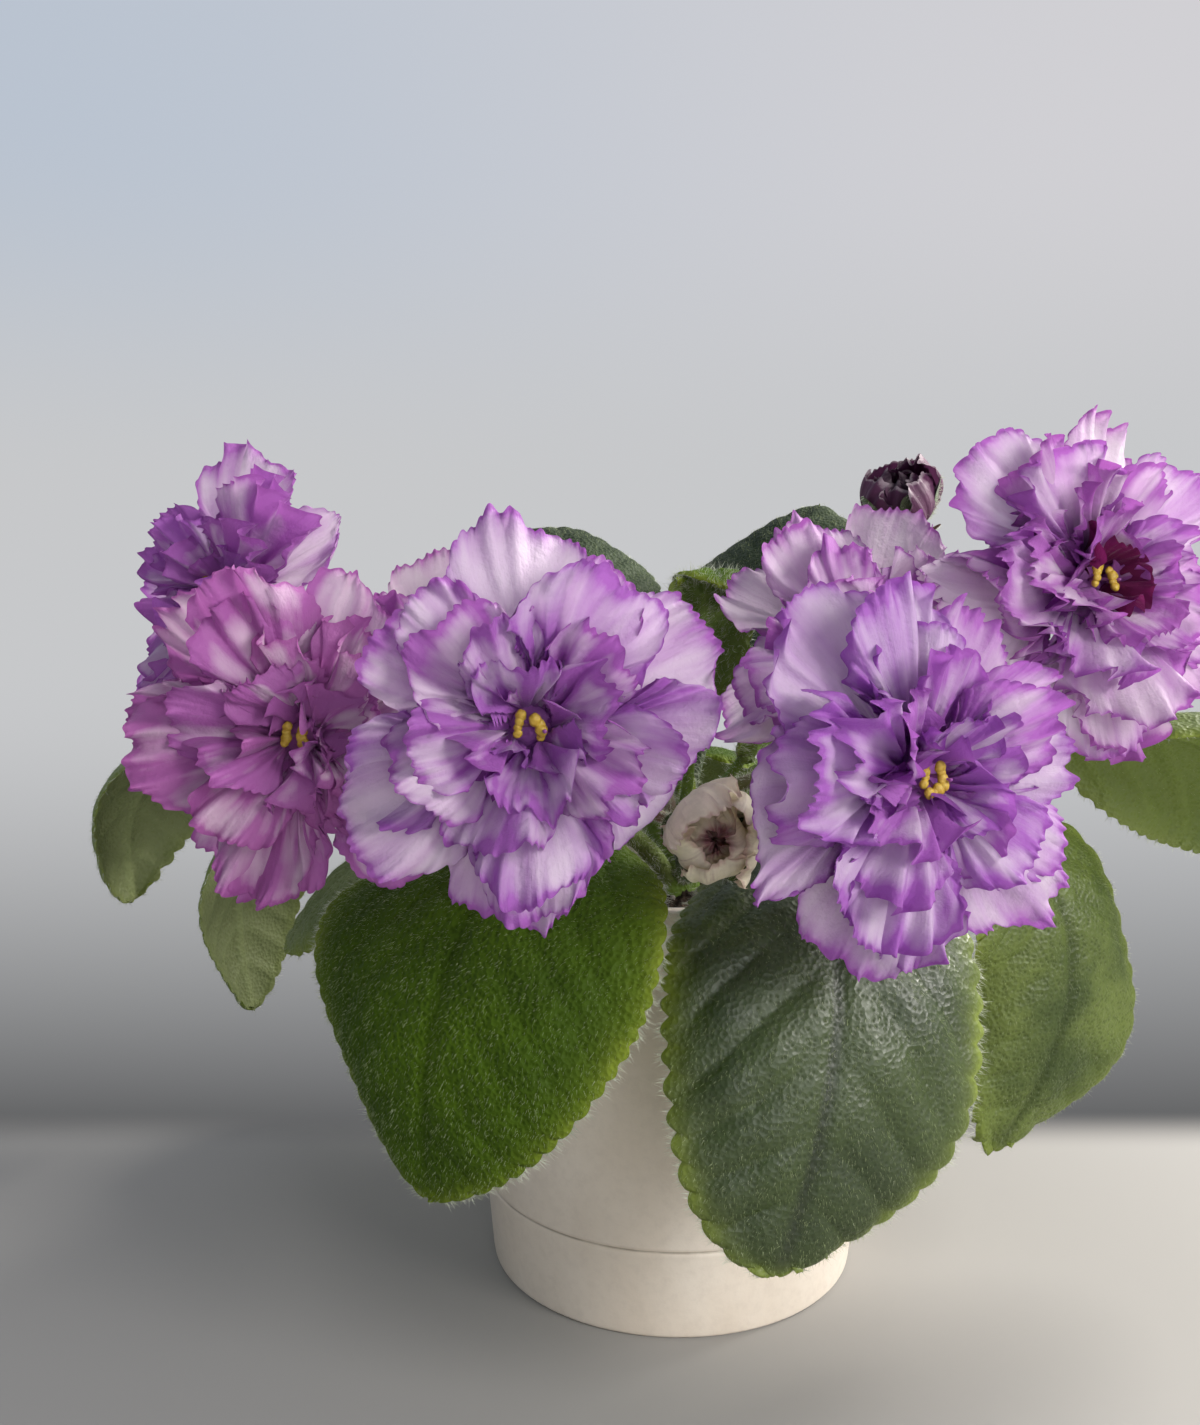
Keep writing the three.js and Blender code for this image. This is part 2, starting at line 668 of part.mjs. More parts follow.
// A bud is a ball of overlapping petals. They leave a frilled mouth, and the skin runs back into it.
function makeBud(bud) {
  const face = faceOf(bud.facing);
  const { length, belly, mouth } = bud;
  const sides = BUD.petals * BUD.points;
  const ring = (level, radius, flute, frill) => {
    const centre = vector(bud.at).addScaledVector(face.out, level * length);
    return ringOf(centre, face.right, face.top, sides, (k, angle) => {
      const fold = Math.cos(BUD.petals * (angle + BUD.twist * 2 * level));
      return radius * (1 + flute * fold + frill * (k % 2 ? 1 : -1));
    });
  };
  return loft([
    ring(0, belly * 0.4, 0, 0),
    ring(0.16, belly * 0.86, BUD.flute, 0),
    ring(0.45, belly, BUD.flute, 0),
    ring(0.75, belly * 0.86, BUD.flute * 1.5, 0),
    ring(1, mouth, BUD.flute * 2, BUD.lip),
    ring(0.97, mouth * 0.72, BUD.flute * 2, BUD.lip),
    ring(0.75, mouth * 0.4, 0, 0),
  ]);
}

// ---------------------------------------------------------------- flower stalks
// The back of a flower or bud, where its stalk ends.
function backOf(name) {
  const flower = BLOOMS[name] ?? BUDS[name];
  const face = faceOf(flower.facing);
  const behind = GAP - (BLOOMS[name] ? CORE.levels[0] : 0);
  return { at: vector(flower.at).addScaledVector(face.out, -behind), face };
}

// The branch to a flower widens into the calyx, a star of narrow leaves behind the petals.
function branch(fork, { at, face }) {
  const { depth, waist, sepal, sepalBack, thickness, top, sepals } = CALYX;
  const level = (distance) => at.clone().addScaledVector(face.out, -distance);
  const sides = 2 * sepals;
  const end = level(depth);
  const lean = level(depth + 0.45 * end.distanceTo(fork));
  const rings = evenly(STALK.steps).map((t) => {
    const centre = bezier([fork, lean, end], t);
    const along = bezier([fork, lean, end], t + 1e-3).sub(centre).normalize();
    const side = face.top.clone().cross(along).normalize();
    return ringOf(centre, side, along.cross(side), STALK.sides, () => STALK.pedicel);
  });
  const star = (distance, inner, outer) =>
    ringOf(level(distance), face.right, face.top, sides, (k) => (k % 2 ? outer : inner));
  rings.push(star(sepalBack + thickness, waist, sepal));
  rings.push(star(sepalBack, waist, sepal));
  rings.push(star(0, top, top));
  return loft(rings);
}

function makeStalk(stalk) {
  const fork = vector(stalk.fork);
  const root = rootOf(stalk.root);
  const steps = evenly(STALK.steps);
  const rise = root.clone().multiply(vector([2.6, 2.6, 1])).add(vector([0, 0, 12]));
  const main = steps.map((t) => bezier([root, rise, fork], t));
  const pieces = [stem(main, steps.map((t) => STALK.radius * (1 - 0.15 * t)), STALK.sides)];
  for (const name of stalk.ends) pieces.push(branch(fork, backOf(name)));
  return cutBack(united(pieces));
}

// ---------------------------------------------------------------- the whole plant
const violet = new THREE.Group();
violet.add(meshOf("pot", makePot(), COLOURS.pot, 0.55));
violet.add(meshOf("soil", makeSoil(), COLOURS.soil, 1));
violet.add(meshOf("crown", makeCrown(), COLOURS.leaf, 0.8));
for (const [name, leaf] of Object.entries(LEAVES))
  violet.add(meshOf(`leaf_${name}`, makeLeaf(leaf), COLOURS.leaf, 0.7));
for (const [name, bloom] of Object.entries(BLOOMS)) {
  violet.add(meshOf(`bloom_${name}`, makeBloom(name, bloom), COLOURS.petal, 0.6));
  violet.add(meshOf(`stamens_${name}`, makeStamens(bloom), COLOURS.stamen, 0.5));
}
for (const [name, bud] of Object.entries(BUDS))
  violet.add(meshOf(`bud_${name}`, makeBud(bud), COLOURS[bud.colour], 0.6));
for (const [name, stalk] of Object.entries(STALKS))
  violet.add(meshOf(`stalk_${name}`, makeStalk(stalk), COLOURS.stalk, 0.7));

export default violet;
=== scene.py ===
from types import SimpleNamespace as Group

import bpy
import numpy as np
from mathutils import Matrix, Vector
from numpy import (
    clip, concatenate, cos, cross, exp, gradient, interp, linspace, maximum, minimum, pi, radians, sin, sqrt,
    stack)


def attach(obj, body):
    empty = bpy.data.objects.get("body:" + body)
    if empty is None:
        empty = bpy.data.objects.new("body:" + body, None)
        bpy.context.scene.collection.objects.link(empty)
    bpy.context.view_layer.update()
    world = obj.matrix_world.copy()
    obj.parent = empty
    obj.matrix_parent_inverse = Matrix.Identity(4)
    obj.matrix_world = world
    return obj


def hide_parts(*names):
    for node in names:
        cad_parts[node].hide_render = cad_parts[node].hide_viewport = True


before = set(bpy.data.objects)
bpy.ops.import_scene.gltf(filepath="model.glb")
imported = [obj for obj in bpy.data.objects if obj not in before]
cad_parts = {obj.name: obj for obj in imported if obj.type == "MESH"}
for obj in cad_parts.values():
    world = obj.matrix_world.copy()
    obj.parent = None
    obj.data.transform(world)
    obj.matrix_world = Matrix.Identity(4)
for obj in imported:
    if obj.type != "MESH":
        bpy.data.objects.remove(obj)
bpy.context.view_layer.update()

MM = 0.001  # lengths below are in millimetres, and the meshes are in metres
TURN = 2 * pi
ABOUT_A_TURN = 6.28  # the range of a random angle


def table(names, *rows):
    """A group for each row, with its values under these names."""
    return [Group(**dict(zip(names.split(), row))) for row in rows]


def by_name(names, *rows):
    """The same, with each row's name before its values."""
    return {row.name: row for row in table("name " + names, *rows)}


# ---------------------------------------------------------------- the plant's own measures
GAP = 0.3  # between pieces that do not touch
POT = Group(height=90, foot=40.4, rim=48, wall=3.6, floor=5, chamfer=1, round=1.3)
POT_LINE = Group(height=19, depth=0.35, half=0.45)
SOIL = Group(drop=10, mound=3, hole=18)
SOIL_TOP = POT.height - SOIL.drop
CROWN = Group(radius=6.2, roots=0.8, top=101, leaflets=5, leaflet=14, leaflet_width=9)
CORE = Group(radii=(3, 6.2, 3.4), levels=(-1.5, 0.8, 4.6), share=0.86)
CALYX = Group(depth=4, waist=2.2, sepal=7.5, back=3.2, top=2.6, sepals=5)
STALK = Group(radius=1.6, pedicel=1.15)

# The rings of petals in a flower. throat, level: how far from the axis and along it a petal starts.
# reach: its length, as a share of the flower's. lift: how far it leans up from flat, at its root and
# at its tip, and spread: half its width, in degrees. lean, fold, frill, cup: how much it twists,
# folds, waves and hollows.
RING = "throat level reach lift spread lean fold frill cup"
RINGS = table(
    RING,
    (1.2, -0.4, 1.0, (22, -14), 38, 0.16, 0.07, 0.06, -0.1),
    (0.8, 0.4, 0.85, (42, 12), 40, 0.18, 0.09, 0.075, 0.12),
    (1.8, 1, 0.56, (70, 38), 44, 0.2, 0.1, 0.08, 0.3))
# Petals that stand between those of the rings above: how many, and where each such ring starts.
MORE_RINGS = table(
    RING + " count turn",
    (1.0, 0.2, 0.92, (33, 2), 34, 0.15, 0.09, 0.075, 0.0, 5, 33),
    (1.4, 0.8, 0.7, (56, 22), 36, 0.2, 0.1, 0.085, 0.2, 5, 12),
    (2.4, 1.6, 0.38, (78, 50), 40, 0.1, 0.11, 0.08, 0.35, 3, 70))
# wrapped: the least radius at which the petals of a bud curve round its axis.
BUD_RINGS = table(
    RING + " count turn wrapped",
    (1.4, 0, 1.0, (6, 142), 44, 0.12, 0.04, 0.04, 0, 5, 60, 4.2),
    (1.0, 0.6, 0.86, (14, 156), 44, 0.14, 0.05, 0.055, 0, 4, 20, 3.4),
    (0.8, 1.2, 0.66, (26, 172), 44, 0.2, 0.08, 0.07, 0, 3, 0, 3))
PETAL = Group(root=0.03, roundness=0.26, clearance=0.75, softness=6, lobes=(0.03, 0.014))
# Waves of a petal's margin: their pitch, how far and over what length the pitch wanders, and how
# near to the margin they stay.
RUFFLE = Group(pitch=1.2, wander=1.5, over=4.6, near=3.2)
CRIMP = Group(pitch=0.43, wander=1.5, over=1.9, near=1.3, height=0.28)

LEAF = dict(
    thickness=0.9, keel=1.3, stalk=0.9, share=0.02, taper=0.62, sunk=5,
    outline=(0.45, 0.6), roll=0, pitch=4.8, tooth=0.85, quilt=0.8, wave=1.4, sway=0)
# The blade's relief: how many veins there are and how they run, how far they stand out below, how
# far the blade bulges between them and rolls, and how deep the rib lies.
VEINS = Group(count=7.2, slant=0.75, bow=0.012, height=0.45, bulge=1.2, roll=0.3, rib=0.9)
# The shortest and the longest hairs, by where they grow.
HAIR = Group(
    blade=(0.5, 1.3), under=(0.4, 1.1), young=(1.0, 2.6), margin=(0.8, 2.3), stalk=(0.7, 1.9),
    crown=(0.6, 1.4), leaflet=(0.8, 2.2), stem=(0.6, 1.6), pedicel=(0.5, 1.4), calyx=(0.5, 1.2),
    bud=(0.7, 1.8))


def leaf_of(root, length, width, cup, *guide, **more):
    """root: its angle and height at the crown. cup: how far the blade's halves bend down, in degrees.
    guide: what the rib bends towards."""
    return Group(**dict(LEAF, root=root, length=length, width=width, cup=cup, guide=guide, **more))


LEAVES = {
    "front_left": leaf_of(
        (250, 86), 84, 70, 24, (-11, -25, 108), (-31, -68, 124), (-48, -88, 96), (-45, -78, 49),
        outline=(0.62, 0.72), pitch=4, tooth=0.6, quilt=0.45),
    "front_right": leaf_of(
        (293, 86), 92, 58, 26, (10, -24, 106), (30, -66, 120), (28, -92, 88), (13, -81, 37),
        outline=(0.5, 0.52), pitch=5.2, tooth=1.05, quilt=0.9),
    "right_low": leaf_of(
        (336, 86), 82, 46, 30, (32, -14, 104), (74, -30, 118), (98, -34, 84), (66, -26, 33),
        outline=(0.5, 0.6), roll=48, wave=3.2, quilt=0.7, sway=0.07),
    "right_far": leaf_of(
        (2, 92), 94, 60, 58, (45, 2, 118), (95, 0, 134), (148, 2, 120), (156, 10, 76), roll=-34),
    "right_back": leaf_of(
        (24, 98), 92, 60, 40, (40, 18, 122), (85, 34, 136), (135, 52, 126), (148, 62, 92)),
    "back_right_low": leaf_of(
        (47, 86), 92, 62, 34, (28, 30, 110), (64, 66, 126), (92, 92, 104), (92, 92, 60)),
    "back_right_up": leaf_of(
        (63, 98), 66, 50, 24, (10, 20, 122), (18, 34, 144), (30, 48, 164), (42, 66, 170)),
    "back_low": leaf_of(
        (77, 92), 98, 66, 34, (8, 35, 110), (10, 78, 117), (12, 114, 91), (10, 112, 47)),
    "back_up": leaf_of(
        (114, 98), 66, 45, 26, (-11, 22, 124), (-19, 40, 149), (-25, 58, 167), (-29, 80, 164)),
    "back_left": leaf_of(
        (119, 86), 98, 62, 34, (-18, 32, 116), (-40, 70, 128), (-60, 104, 112), (-64, 108, 68)),
    "left_hanging": leaf_of(
        (151, 92), 80, 46, 40, (-40, 22, 118), (-94, 42, 132), (-125, 54, 88), (-109, 52, 36)),
    "left_far": leaf_of(
        (175, 86), 80, 46, 55, (-45, 4, 112), (-92, 6, 130), (-136, 10, 120), (-126, 14, 76), roll=26),
    "left_short": leaf_of(
        (210, 92), 50, 38, 26, (-24, -10, 102), (-48, -18, 109), (-70, -26, 98), (-80, -28, 76)),
    "young_front": leaf_of(
        (292, 98), 40, 25, 30, (4, -14, 118), (4, -4, 150), (8, 2, 160), (9, -16, 150)),
    "young_back": leaf_of(
        (350, 98), 40, 26, 18, (16, -6, 114), (25, -4, 128), (25, -8, 140), (21, -12, 150)),
}

FULL, LOOSE = (6, 5, 4), (5, 4, 3)  # petals in each ring
# longest: where a flower's petals are longest, in degrees, and by what share. turn: where each ring
# starts. wash: how much violet lies over the whole petal. hue: 0 for blue violet, 1 for magenta.
# band: how wide the violet margin is. dark: small dark petals over the middle.
BLOOMS = by_name(
    "at facing reach longest petals turn seed wash hue band dark",
    ("left_front", (-64, -72, 127), (-0.12, -0.98, -0.04), 30, (200, 0.05),
     FULL, (8, 40, 15), 28, 0.46, 0.8, 4, 0),
    ("left_back", (-82.5, -45, 147.5), (-0.5, -0.8, 0.25), 26, (10, 0.12),
     LOOSE, (20, 50, 10), 29, 0.4, 0.4, 4, 0),
    ("middle_back", (-43, -54, 132), (-0.1, -0.85, 0.4), 25, (90, 0.05),
     LOOSE, (30, 60, 20), 17, 0.2, 0.7, 3.4, 0),
    ("middle", (-27, -86, 130), (0.05, -0.99, 0.05), 31, (340, 0.08),
     FULL, (28, 55, 10), 12, 0.25, 0.35, 3.6, 0),
    ("right_front", (32.5, -82, 121.5), (0.25, -0.95, 0.1), 31, (180, 0.14),
     FULL, (5, 30, 50), 21, 0.22, 0.3, 4.2, 0),
    ("right_top", (68.5, -51, 151), (0.34, -0.93, 0.15), 32, (200, 0.12),
     FULL, (15, 45, 5), 50, 0.22, 0.45, 3.6, 4),
    ("right_back", (31, -50, 137), (-0.25, -0.8, 0.5), 28, (60, 0.05),
     LOOSE, (0, 30, 60), 55, 0.12, 0.5, 3, 0))
SMALL_BLOOM = 29  # a flower with less reach than this has fewer petals in between
# belly: the radius of a bud. curl: how long its petals are for its length. clasped: how far along
# it its sepals reach.
BUDS = by_name(
    "at facing length belly curl clasped slot",
    ("front", (2, -68, 108.5), (0.05, -0.97, 0.15), 13, 8.2, 1.36, 0.4, "bud"),
    ("back", (52, 8, 163), (-0.25, -0.35, 0.9), 15, 8, 1.16, 0.75, "dark_bud"))
STALKS = by_name(
    "root fork ends",
    ("left", (196, 99), (-50, -34, 112), ["left_front", "left_back", "middle_back"]),
    ("middle", (262, 99), (-9, -50, 110), ["middle", "front"]),
    ("right", (322, 99), (36, -34, 114), ["right_front", "right_top", "right_back", "back"]))
# Flat walls between neighbouring flowers: first, second, a point and the normal towards the second.
WALLS = [
    ("left_front", "middle", (-48, -77, 128), (0.55, -0.83, 0)),
    ("left_back", "left_front", (-78, -58, 140), (0.3, -0.7, -0.62)),
    ("middle_back", "left_front", (-54, -64, 130), (-0.55, -0.8, -0.2)),
    ("middle_back", "middle", (-36, -71, 131), (0.3, -0.95, 0)),
    ("left_back", "middle_back", (-66, -48, 142), (0.8, -0.2, -0.4)),
    ("right_back", "right_front", (33, -67, 131), (0.1, -0.9, -0.35)),
    ("right_back", "right_top", (47, -52, 142), (0.5, -0.85, 0.2)),
    ("right_top", "right_front", (56, -68, 137), (-0.6, -0.55, -0.6)),
    ("middle", "right_front", (5.5, -86, 126), (1, 0, -0.1)),
    ("middle_back", "right_back", (-8, -54, 134), (1, 0, 0)),
    ("middle", "front", (-9, -86, 111), (0.8, 0, -0.6)),
    ("right_front", "front", (8, -86, 110), (-0.45, 0.9, -0.1)),
    ("middle_back", "", (-24, -60, 120), (0.6, -0.5, -0.6)),
    ("middle_back", "", (-58, -52, 124), (-0.7, 0.1, -0.7)),
    ("right_back", "", (32, -56, 118), (0, -0.3, -1)),
]

# ---------------------------------------------------------------- small tools
UP = np.array((0.0, 0.0, 1.0))
MASK = 0xFFFFFFFF
TINY = 0.01  # a radius near nothing


def drawer(seed):
    """The same numbers on every run, from 0 to 1."""
    state = (seed * 2654435761) & MASK

    def draw():
        nonlocal state
        state = (state + 0x6D2B79F5) & MASK
        mixed = ((state ^ (state >> 15)) * (1 | state)) & MASK
        mixed = ((mixed + (((mixed ^ (mixed >> 7)) * (61 | mixed)) & MASK)) & MASK) ^ mixed
        return (mixed ^ (mixed >> 14)) / 4294967296

    return draw


def vector(values):
    return np.array(values, float)


def unit(values):
    return values / maximum(np.linalg.norm(values, axis=-1, keepdims=True), 1e-9)


def ease(low, high, x):
    share = clip((x - low) / (high - low), 0, 1)
    return share * share * (3 - 2 * share)


def mix(a, b, share):
    return a + (b - a) * share


def around(count):
    return linspace(0, TURN, count, endpoint=False)


def moved(at, axes, *amounts):
    """Points from at, moved along each axis by its amounts."""
    for axis, amount in zip(axes, amounts):
        at = at + np.multiply.outer(amount, axis)
    return at


def bezier(guides, t):
    points = [np.broadcast_to(vector(g), (len(t), 3)) for g in guides]
    while len(points) > 1:
        points = [mix(a, b, t[:, None]) for a, b in zip(points, points[1:])]
    return points[0]


def turned_about(axis, values, angle):
    """The values turned about the axis, by an angle for each row."""
    cosine, sine = cos(angle)[:, None], sin(angle)[:, None]
    along = (axis * values).sum(-1, keepdims=True)
    return values * cosine + cross(axis, values) * sine + axis * along * (1 - cosine)


def ripples(x, y, seed, pitch, layers=5):
    """A rolling height between about -1 and 1, over a plane."""
    random = np.random.default_rng(seed)
    total = 0
    for k in range(layers):
        angle, phase = random.uniform(0, ABOUT_A_TURN, 2)
        size = pitch * 0.72**k
        along = x * cos(angle) + y * sin(angle)
        total = total + 0.8**k * sin(along * ABOUT_A_TURN / size + phase)
    return total / 2.4


def grid_faces(rows, columns, wrap):
    """Quads over a grid of points. With wrap, its last column joins its first."""
    i, j = np.meshgrid(np.arange(rows - 1), np.arange(columns if wrap else columns - 1), indexing="ij")
    a, b = i * columns + j, i * columns + (j + 1) % columns
    return stack([a, b, b + columns, a + columns], -1).reshape(-1, 4)


def grid_normals(grid):
    down = gradient(grid, axis=0)
    across = gradient(grid, axis=1)
    return unit(cross(across, down))


def ellipsoid(centre, axes, sizes, rows, sides, gap=0.02):
    """gap: the angle that is left open at both of its ends."""
    phi = linspace(gap, pi - gap, rows)[:, None]
    theta = around(sides)
    a, b, c = sizes
    return moved(centre, axes, a * sin(phi) * cos(theta), b * sin(phi) * sin(theta), c * cos(phi))


class Skin:
    """Points, faces and values for each point, gathered into one mesh."""

    def __init__(self):
        self.points, self.faces, self.values, self.count = [], [], {}, 0

    def add(self, points, faces, **values):
        points = points.reshape(-1, 3)
        self.points.append(points)
        self.faces += (faces + self.count).tolist()
        for name, value in values.items():
            column = np.broadcast_to(np.asarray(value, float).reshape(-1), len(points))
            self.values.setdefault(name, []).append((self.count, column))
        self.count += len(points)

    def grid(self, grid, wrap=False, **values):
        self.add(grid, grid_faces(*grid.shape[:2], wrap), **values)

    def build(self, name, material, slot, replaced=None):
        mesh = bpy.data.meshes.new(name)
        mesh.from_pydata((np.vstack(self.points) * MM).tolist(), [], self.faces)
        for value, parts in self.values.items():
            column = np.zeros(self.count)
            for start, part in parts:
                column[start : start + len(part)] = part
            layer = mesh.attributes.new(value, "FLOAT", "POINT")
            layer.data.foreach_set("value", column)
        mesh.shade_smooth()
        mesh.materials.append(material)
        piece = bpy.data.objects.new(name, mesh)
        bpy.context.scene.collection.objects.link(piece)
        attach(piece, "root")
        if replaced:
            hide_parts(replaced)


def tube(skin, points, radii, sides, **values):
    """A round stem through the points. radii: one for all, or one for each point."""
    along = unit(gradient(points, axis=0))
    side = unit(cross((0.31, 0.17, 0.93), along))
    other = cross(along, side)
    angle = around(sides)
    ring = side[:, None] * cos(angle)[None, :, None] + other[:, None] * sin(angle)[None, :, None]
    grid = points[:, None] + ring * np.broadcast_to(radii, len(points))[:, None, None]
    skin.grid(grid, wrap=True, **values)
    return grid, ring


class Hairs:
    """Fine hairs, each a narrow triangle, gathered into one mesh."""

    def __init__(self, seed):
        self.random = np.random.default_rng(seed)
        self.corners = []

    def grow(self, roots, directions, length, width=0.1):
        """length: the shortest and the longest."""
        n = len(roots)
        directions = unit(directions + 0.32 * self.random.normal(size=(n, 3)))
        flat = unit(cross(directions, self.random.normal(size=(n, 3))))
        half = width / 2 * self.random.uniform(0.7, 1.2, (n, 1))
        tall = self.random.uniform(*length, (n, 1))
        roots = roots - 0.15 * directions
        self.corners.append(stack([roots - flat * half, roots + flat * half, roots + directions * tall], 1))

    def over(self, grid, normals, count, length, lean=0.0, width=0.1):
        """Hairs strewn over a grid of points, evenly by area."""
        a, b, c = grid[:-1, :-1], grid[1:, :-1], grid[:-1, 1:]
        area = np.linalg.norm(cross(b - a, c - a), axis=-1).ravel()
        chosen = self.random.choice(len(area), count, p=area / area.sum())
        i, j = np.unravel_index(chosen, a.shape[:2])
        s, t = self.random.uniform(size=(2, count, 1))

        def inside(values):
            low = mix(values[i, j], values[i + 1, j], s)
            high = mix(values[i, j + 1], values[i + 1, j + 1], s)
            return mix(low, high, t)

        self.grow(inside(grid), inside(normals + lean), length, width)

    def build(self, name, material):
        corners = concatenate(self.corners)
        skin = Skin()
        skin.add(corners, np.arange(len(corners) * 3).reshape(-1, 3))
        skin.build(name, material, "leaf")


# ---------------------------------------------------------------- materials
def dimmed(colour, share):
    return tuple(share * c for c in colour)


class Looks:
    """A material, or the world, and short ways to add nodes to it."""

    def __init__(self, name, world=None):
        self.material = world or bpy.data.materials.new(name)
        self.material.use_nodes = True
        self.tree = self.material.node_tree
        self.shader = self.tree.nodes["Background" if world else "Principled BSDF"]

    def put(self, socket, value):
        if isinstance(value, bpy.types.NodeSocket):
            self.tree.links.new(value, socket)
        elif isinstance(value, tuple) and len(value) == 3 and socket.type == "RGBA":
            socket.default_value = (*value, 1)
        else:
            socket.default_value = value

    def node(self, kind, inputs, output=0, **settings):
        made = self.tree.nodes.new("ShaderNode" + kind)
        for name, value in settings.items():
            setattr(made, name, value)
        for key, value in inputs.items():
            self.put(made.inputs[key], value)
        return made.outputs[output]

    def values(self, names):
        """The values that the mesh holds under these names, for each point."""
        return [self.node("Attribute", {}, output="Fac", attribute_name=name) for name in names.split()]

    def place(self):
        return self.node("TexCoord", {}, output="Object")

    def vector(self, x, y, z):
        return self.node("CombineXYZ", {0: x, 1: y, 2: z})

    def squeezed(self, vector, share):
        """A place whose height counts for less."""
        return self.node("VectorMath", {0: vector, 1: (1.0, 1.0, share)}, operation="MULTIPLY")

    def noise(self, vector, scale, detail=3.0, roughness=0.55):
        inputs = {"Vector": vector, "Scale": scale, "Detail": detail, "Roughness": roughness}
        return self.node("TexNoise", inputs)

    def cells(self, vector, scale):
        return self.node("TexVoronoi", {"Vector": vector, "Scale": scale}, feature="F1")

    def math(self, operation, a, b=0.0, clamp=False):
        return self.node("Math", {0: a, 1: b}, operation=operation, use_clamp=clamp)

    def times(self, a, b):
        return self.math("MULTIPLY", a, b)

    def plus(self, a, b, clamp=False):
        return self.math("ADD", a, b, clamp)

    def most(self, a, b):
        return self.math("MAXIMUM", a, b)

    def ramp(self, value, low, high, to_low=0.0, to_high=1.0):
        """value from low to high, eased, as to_low to to_high."""
        inputs = {"Value": value, "From Min": low, "From Max": high, "To Min": to_low, "To Max": to_high}
        return self.node("MapRange", inputs, interpolation_type="SMOOTHSTEP")

    def blend(self, share, a, b):
        return self.node("Mix", {0: share, 6: a, 7: b}, output=2, data_type="RGBA")

    def bump(self, height, strength, distance):
        """distance is in metres."""
        made = self.node("Bump", {"Height": height, "Strength": strength, "Distance": distance})
        self.put(self.shader.inputs["Normal"], made)

    def set(self, **inputs):
        for name, value in inputs.items():
            self.put(self.shader.inputs[name.replace("_", " ")], value)

    def let_through(self, colour, share):
        """Some of the light passes through, as in a thin petal or leaf."""
        inputs = {"Color": colour}
        normal = self.shader.inputs["Normal"]
        if normal.is_linked:
            inputs["Normal"] = normal.links[0].from_socket
        through = self.node("BsdfTranslucent", inputs)
        both = self.node("MixShader", {0: share, 1: self.shader.outputs[0], 2: through})
        self.tree.links.new(both, self.tree.nodes["Material Output"].inputs[0])


# Colours of the petals, each for a blue violet and for a magenta flower.
PETAL_PALE = ((0.82, 0.73, 0.85), (0.84, 0.7, 0.78))
PETAL_DEEP = ((0.42, 0.14, 0.6), (0.5, 0.15, 0.43))
PETAL_RIM = ((0.24, 0.05, 0.38), (0.34, 0.06, 0.27))
PETAL_DARKEST = (0.2, 0.015, 0.1)
DARK_WASH = 2.0  # from 1.2 to 1.8 a petal's wash turns its colour into the darkest


def petal_looks():
    looks = Looks("petal")
    margin, along, across, wash, hue, band, own = looks.values("margin along across wash hue band own")
    rays = looks.vector(looks.times(across, 8.0), looks.times(along, 1.6), own)
    streak = looks.noise(rays, 1.7, 5.0, 0.6)
    broad = looks.noise(looks.vector(looks.times(across, 1.6), along, own), 1.4, 2.0)
    mottle = looks.noise(looks.place(), 260.0, 4.0, 0.6)
    # The violet margin, the throat and the wash over the rest.
    width = looks.times(band, looks.ramp(streak, 0.3, 0.72, 0.42, 0.62))
    width = looks.times(width, looks.ramp(broad, 0.3, 0.7, 0.5, 1.5))
    depth = looks.plus(margin, looks.ramp(mottle, 0.3, 0.7, -0.7, 0.5))
    edge = looks.math("EXPONENT", looks.math("DIVIDE", looks.times(depth, -1.0), width))
    edge = looks.math("MINIMUM", edge, 1.0)
    throat = looks.ramp(looks.plus(along, looks.ramp(streak, 0.3, 0.7, -0.1, 0.1)), 0.1, 0.5, 0.8, 0.0)
    cover = looks.times(wash, looks.ramp(broad, 0.3, 0.7, 0.3, 1.7))
    veins = looks.times(looks.ramp(streak, 0.5, 0.72), 0.05)
    amount = looks.plus(looks.most(looks.times(edge, 0.9), throat), cover)
    amount = looks.plus(amount, veins, clamp=True)
    colour = looks.blend(amount, looks.blend(hue, *PETAL_PALE), looks.blend(hue, *PETAL_DEEP))
    rim = looks.times(looks.ramp(depth, 0.0, 0.9, 0.6, 0.0), looks.ramp(mottle, 0.35, 0.6, 0.3, 1.0))
    colour = looks.blend(rim, colour, looks.blend(hue, *PETAL_RIM))
    colour = looks.blend(looks.ramp(wash, 1.2, 1.8), colour, PETAL_DARKEST)
    looks.set(Base_Color=colour, Roughness=0.6)
    looks.set(Sheen_Weight=0.2, Sheen_Roughness=0.35, Sheen_Tint=(0.95, 0.88, 1.0))
    grain = looks.noise(looks.place(), 1100.0, 2.0)
    height = looks.plus(looks.times(mottle, 0.8), looks.times(grain, 0.3))
    looks.bump(looks.plus(height, looks.times(streak, 0.4)), 0.5, 0.0012)
    looks.let_through(colour, 0.4)
    return looks.material


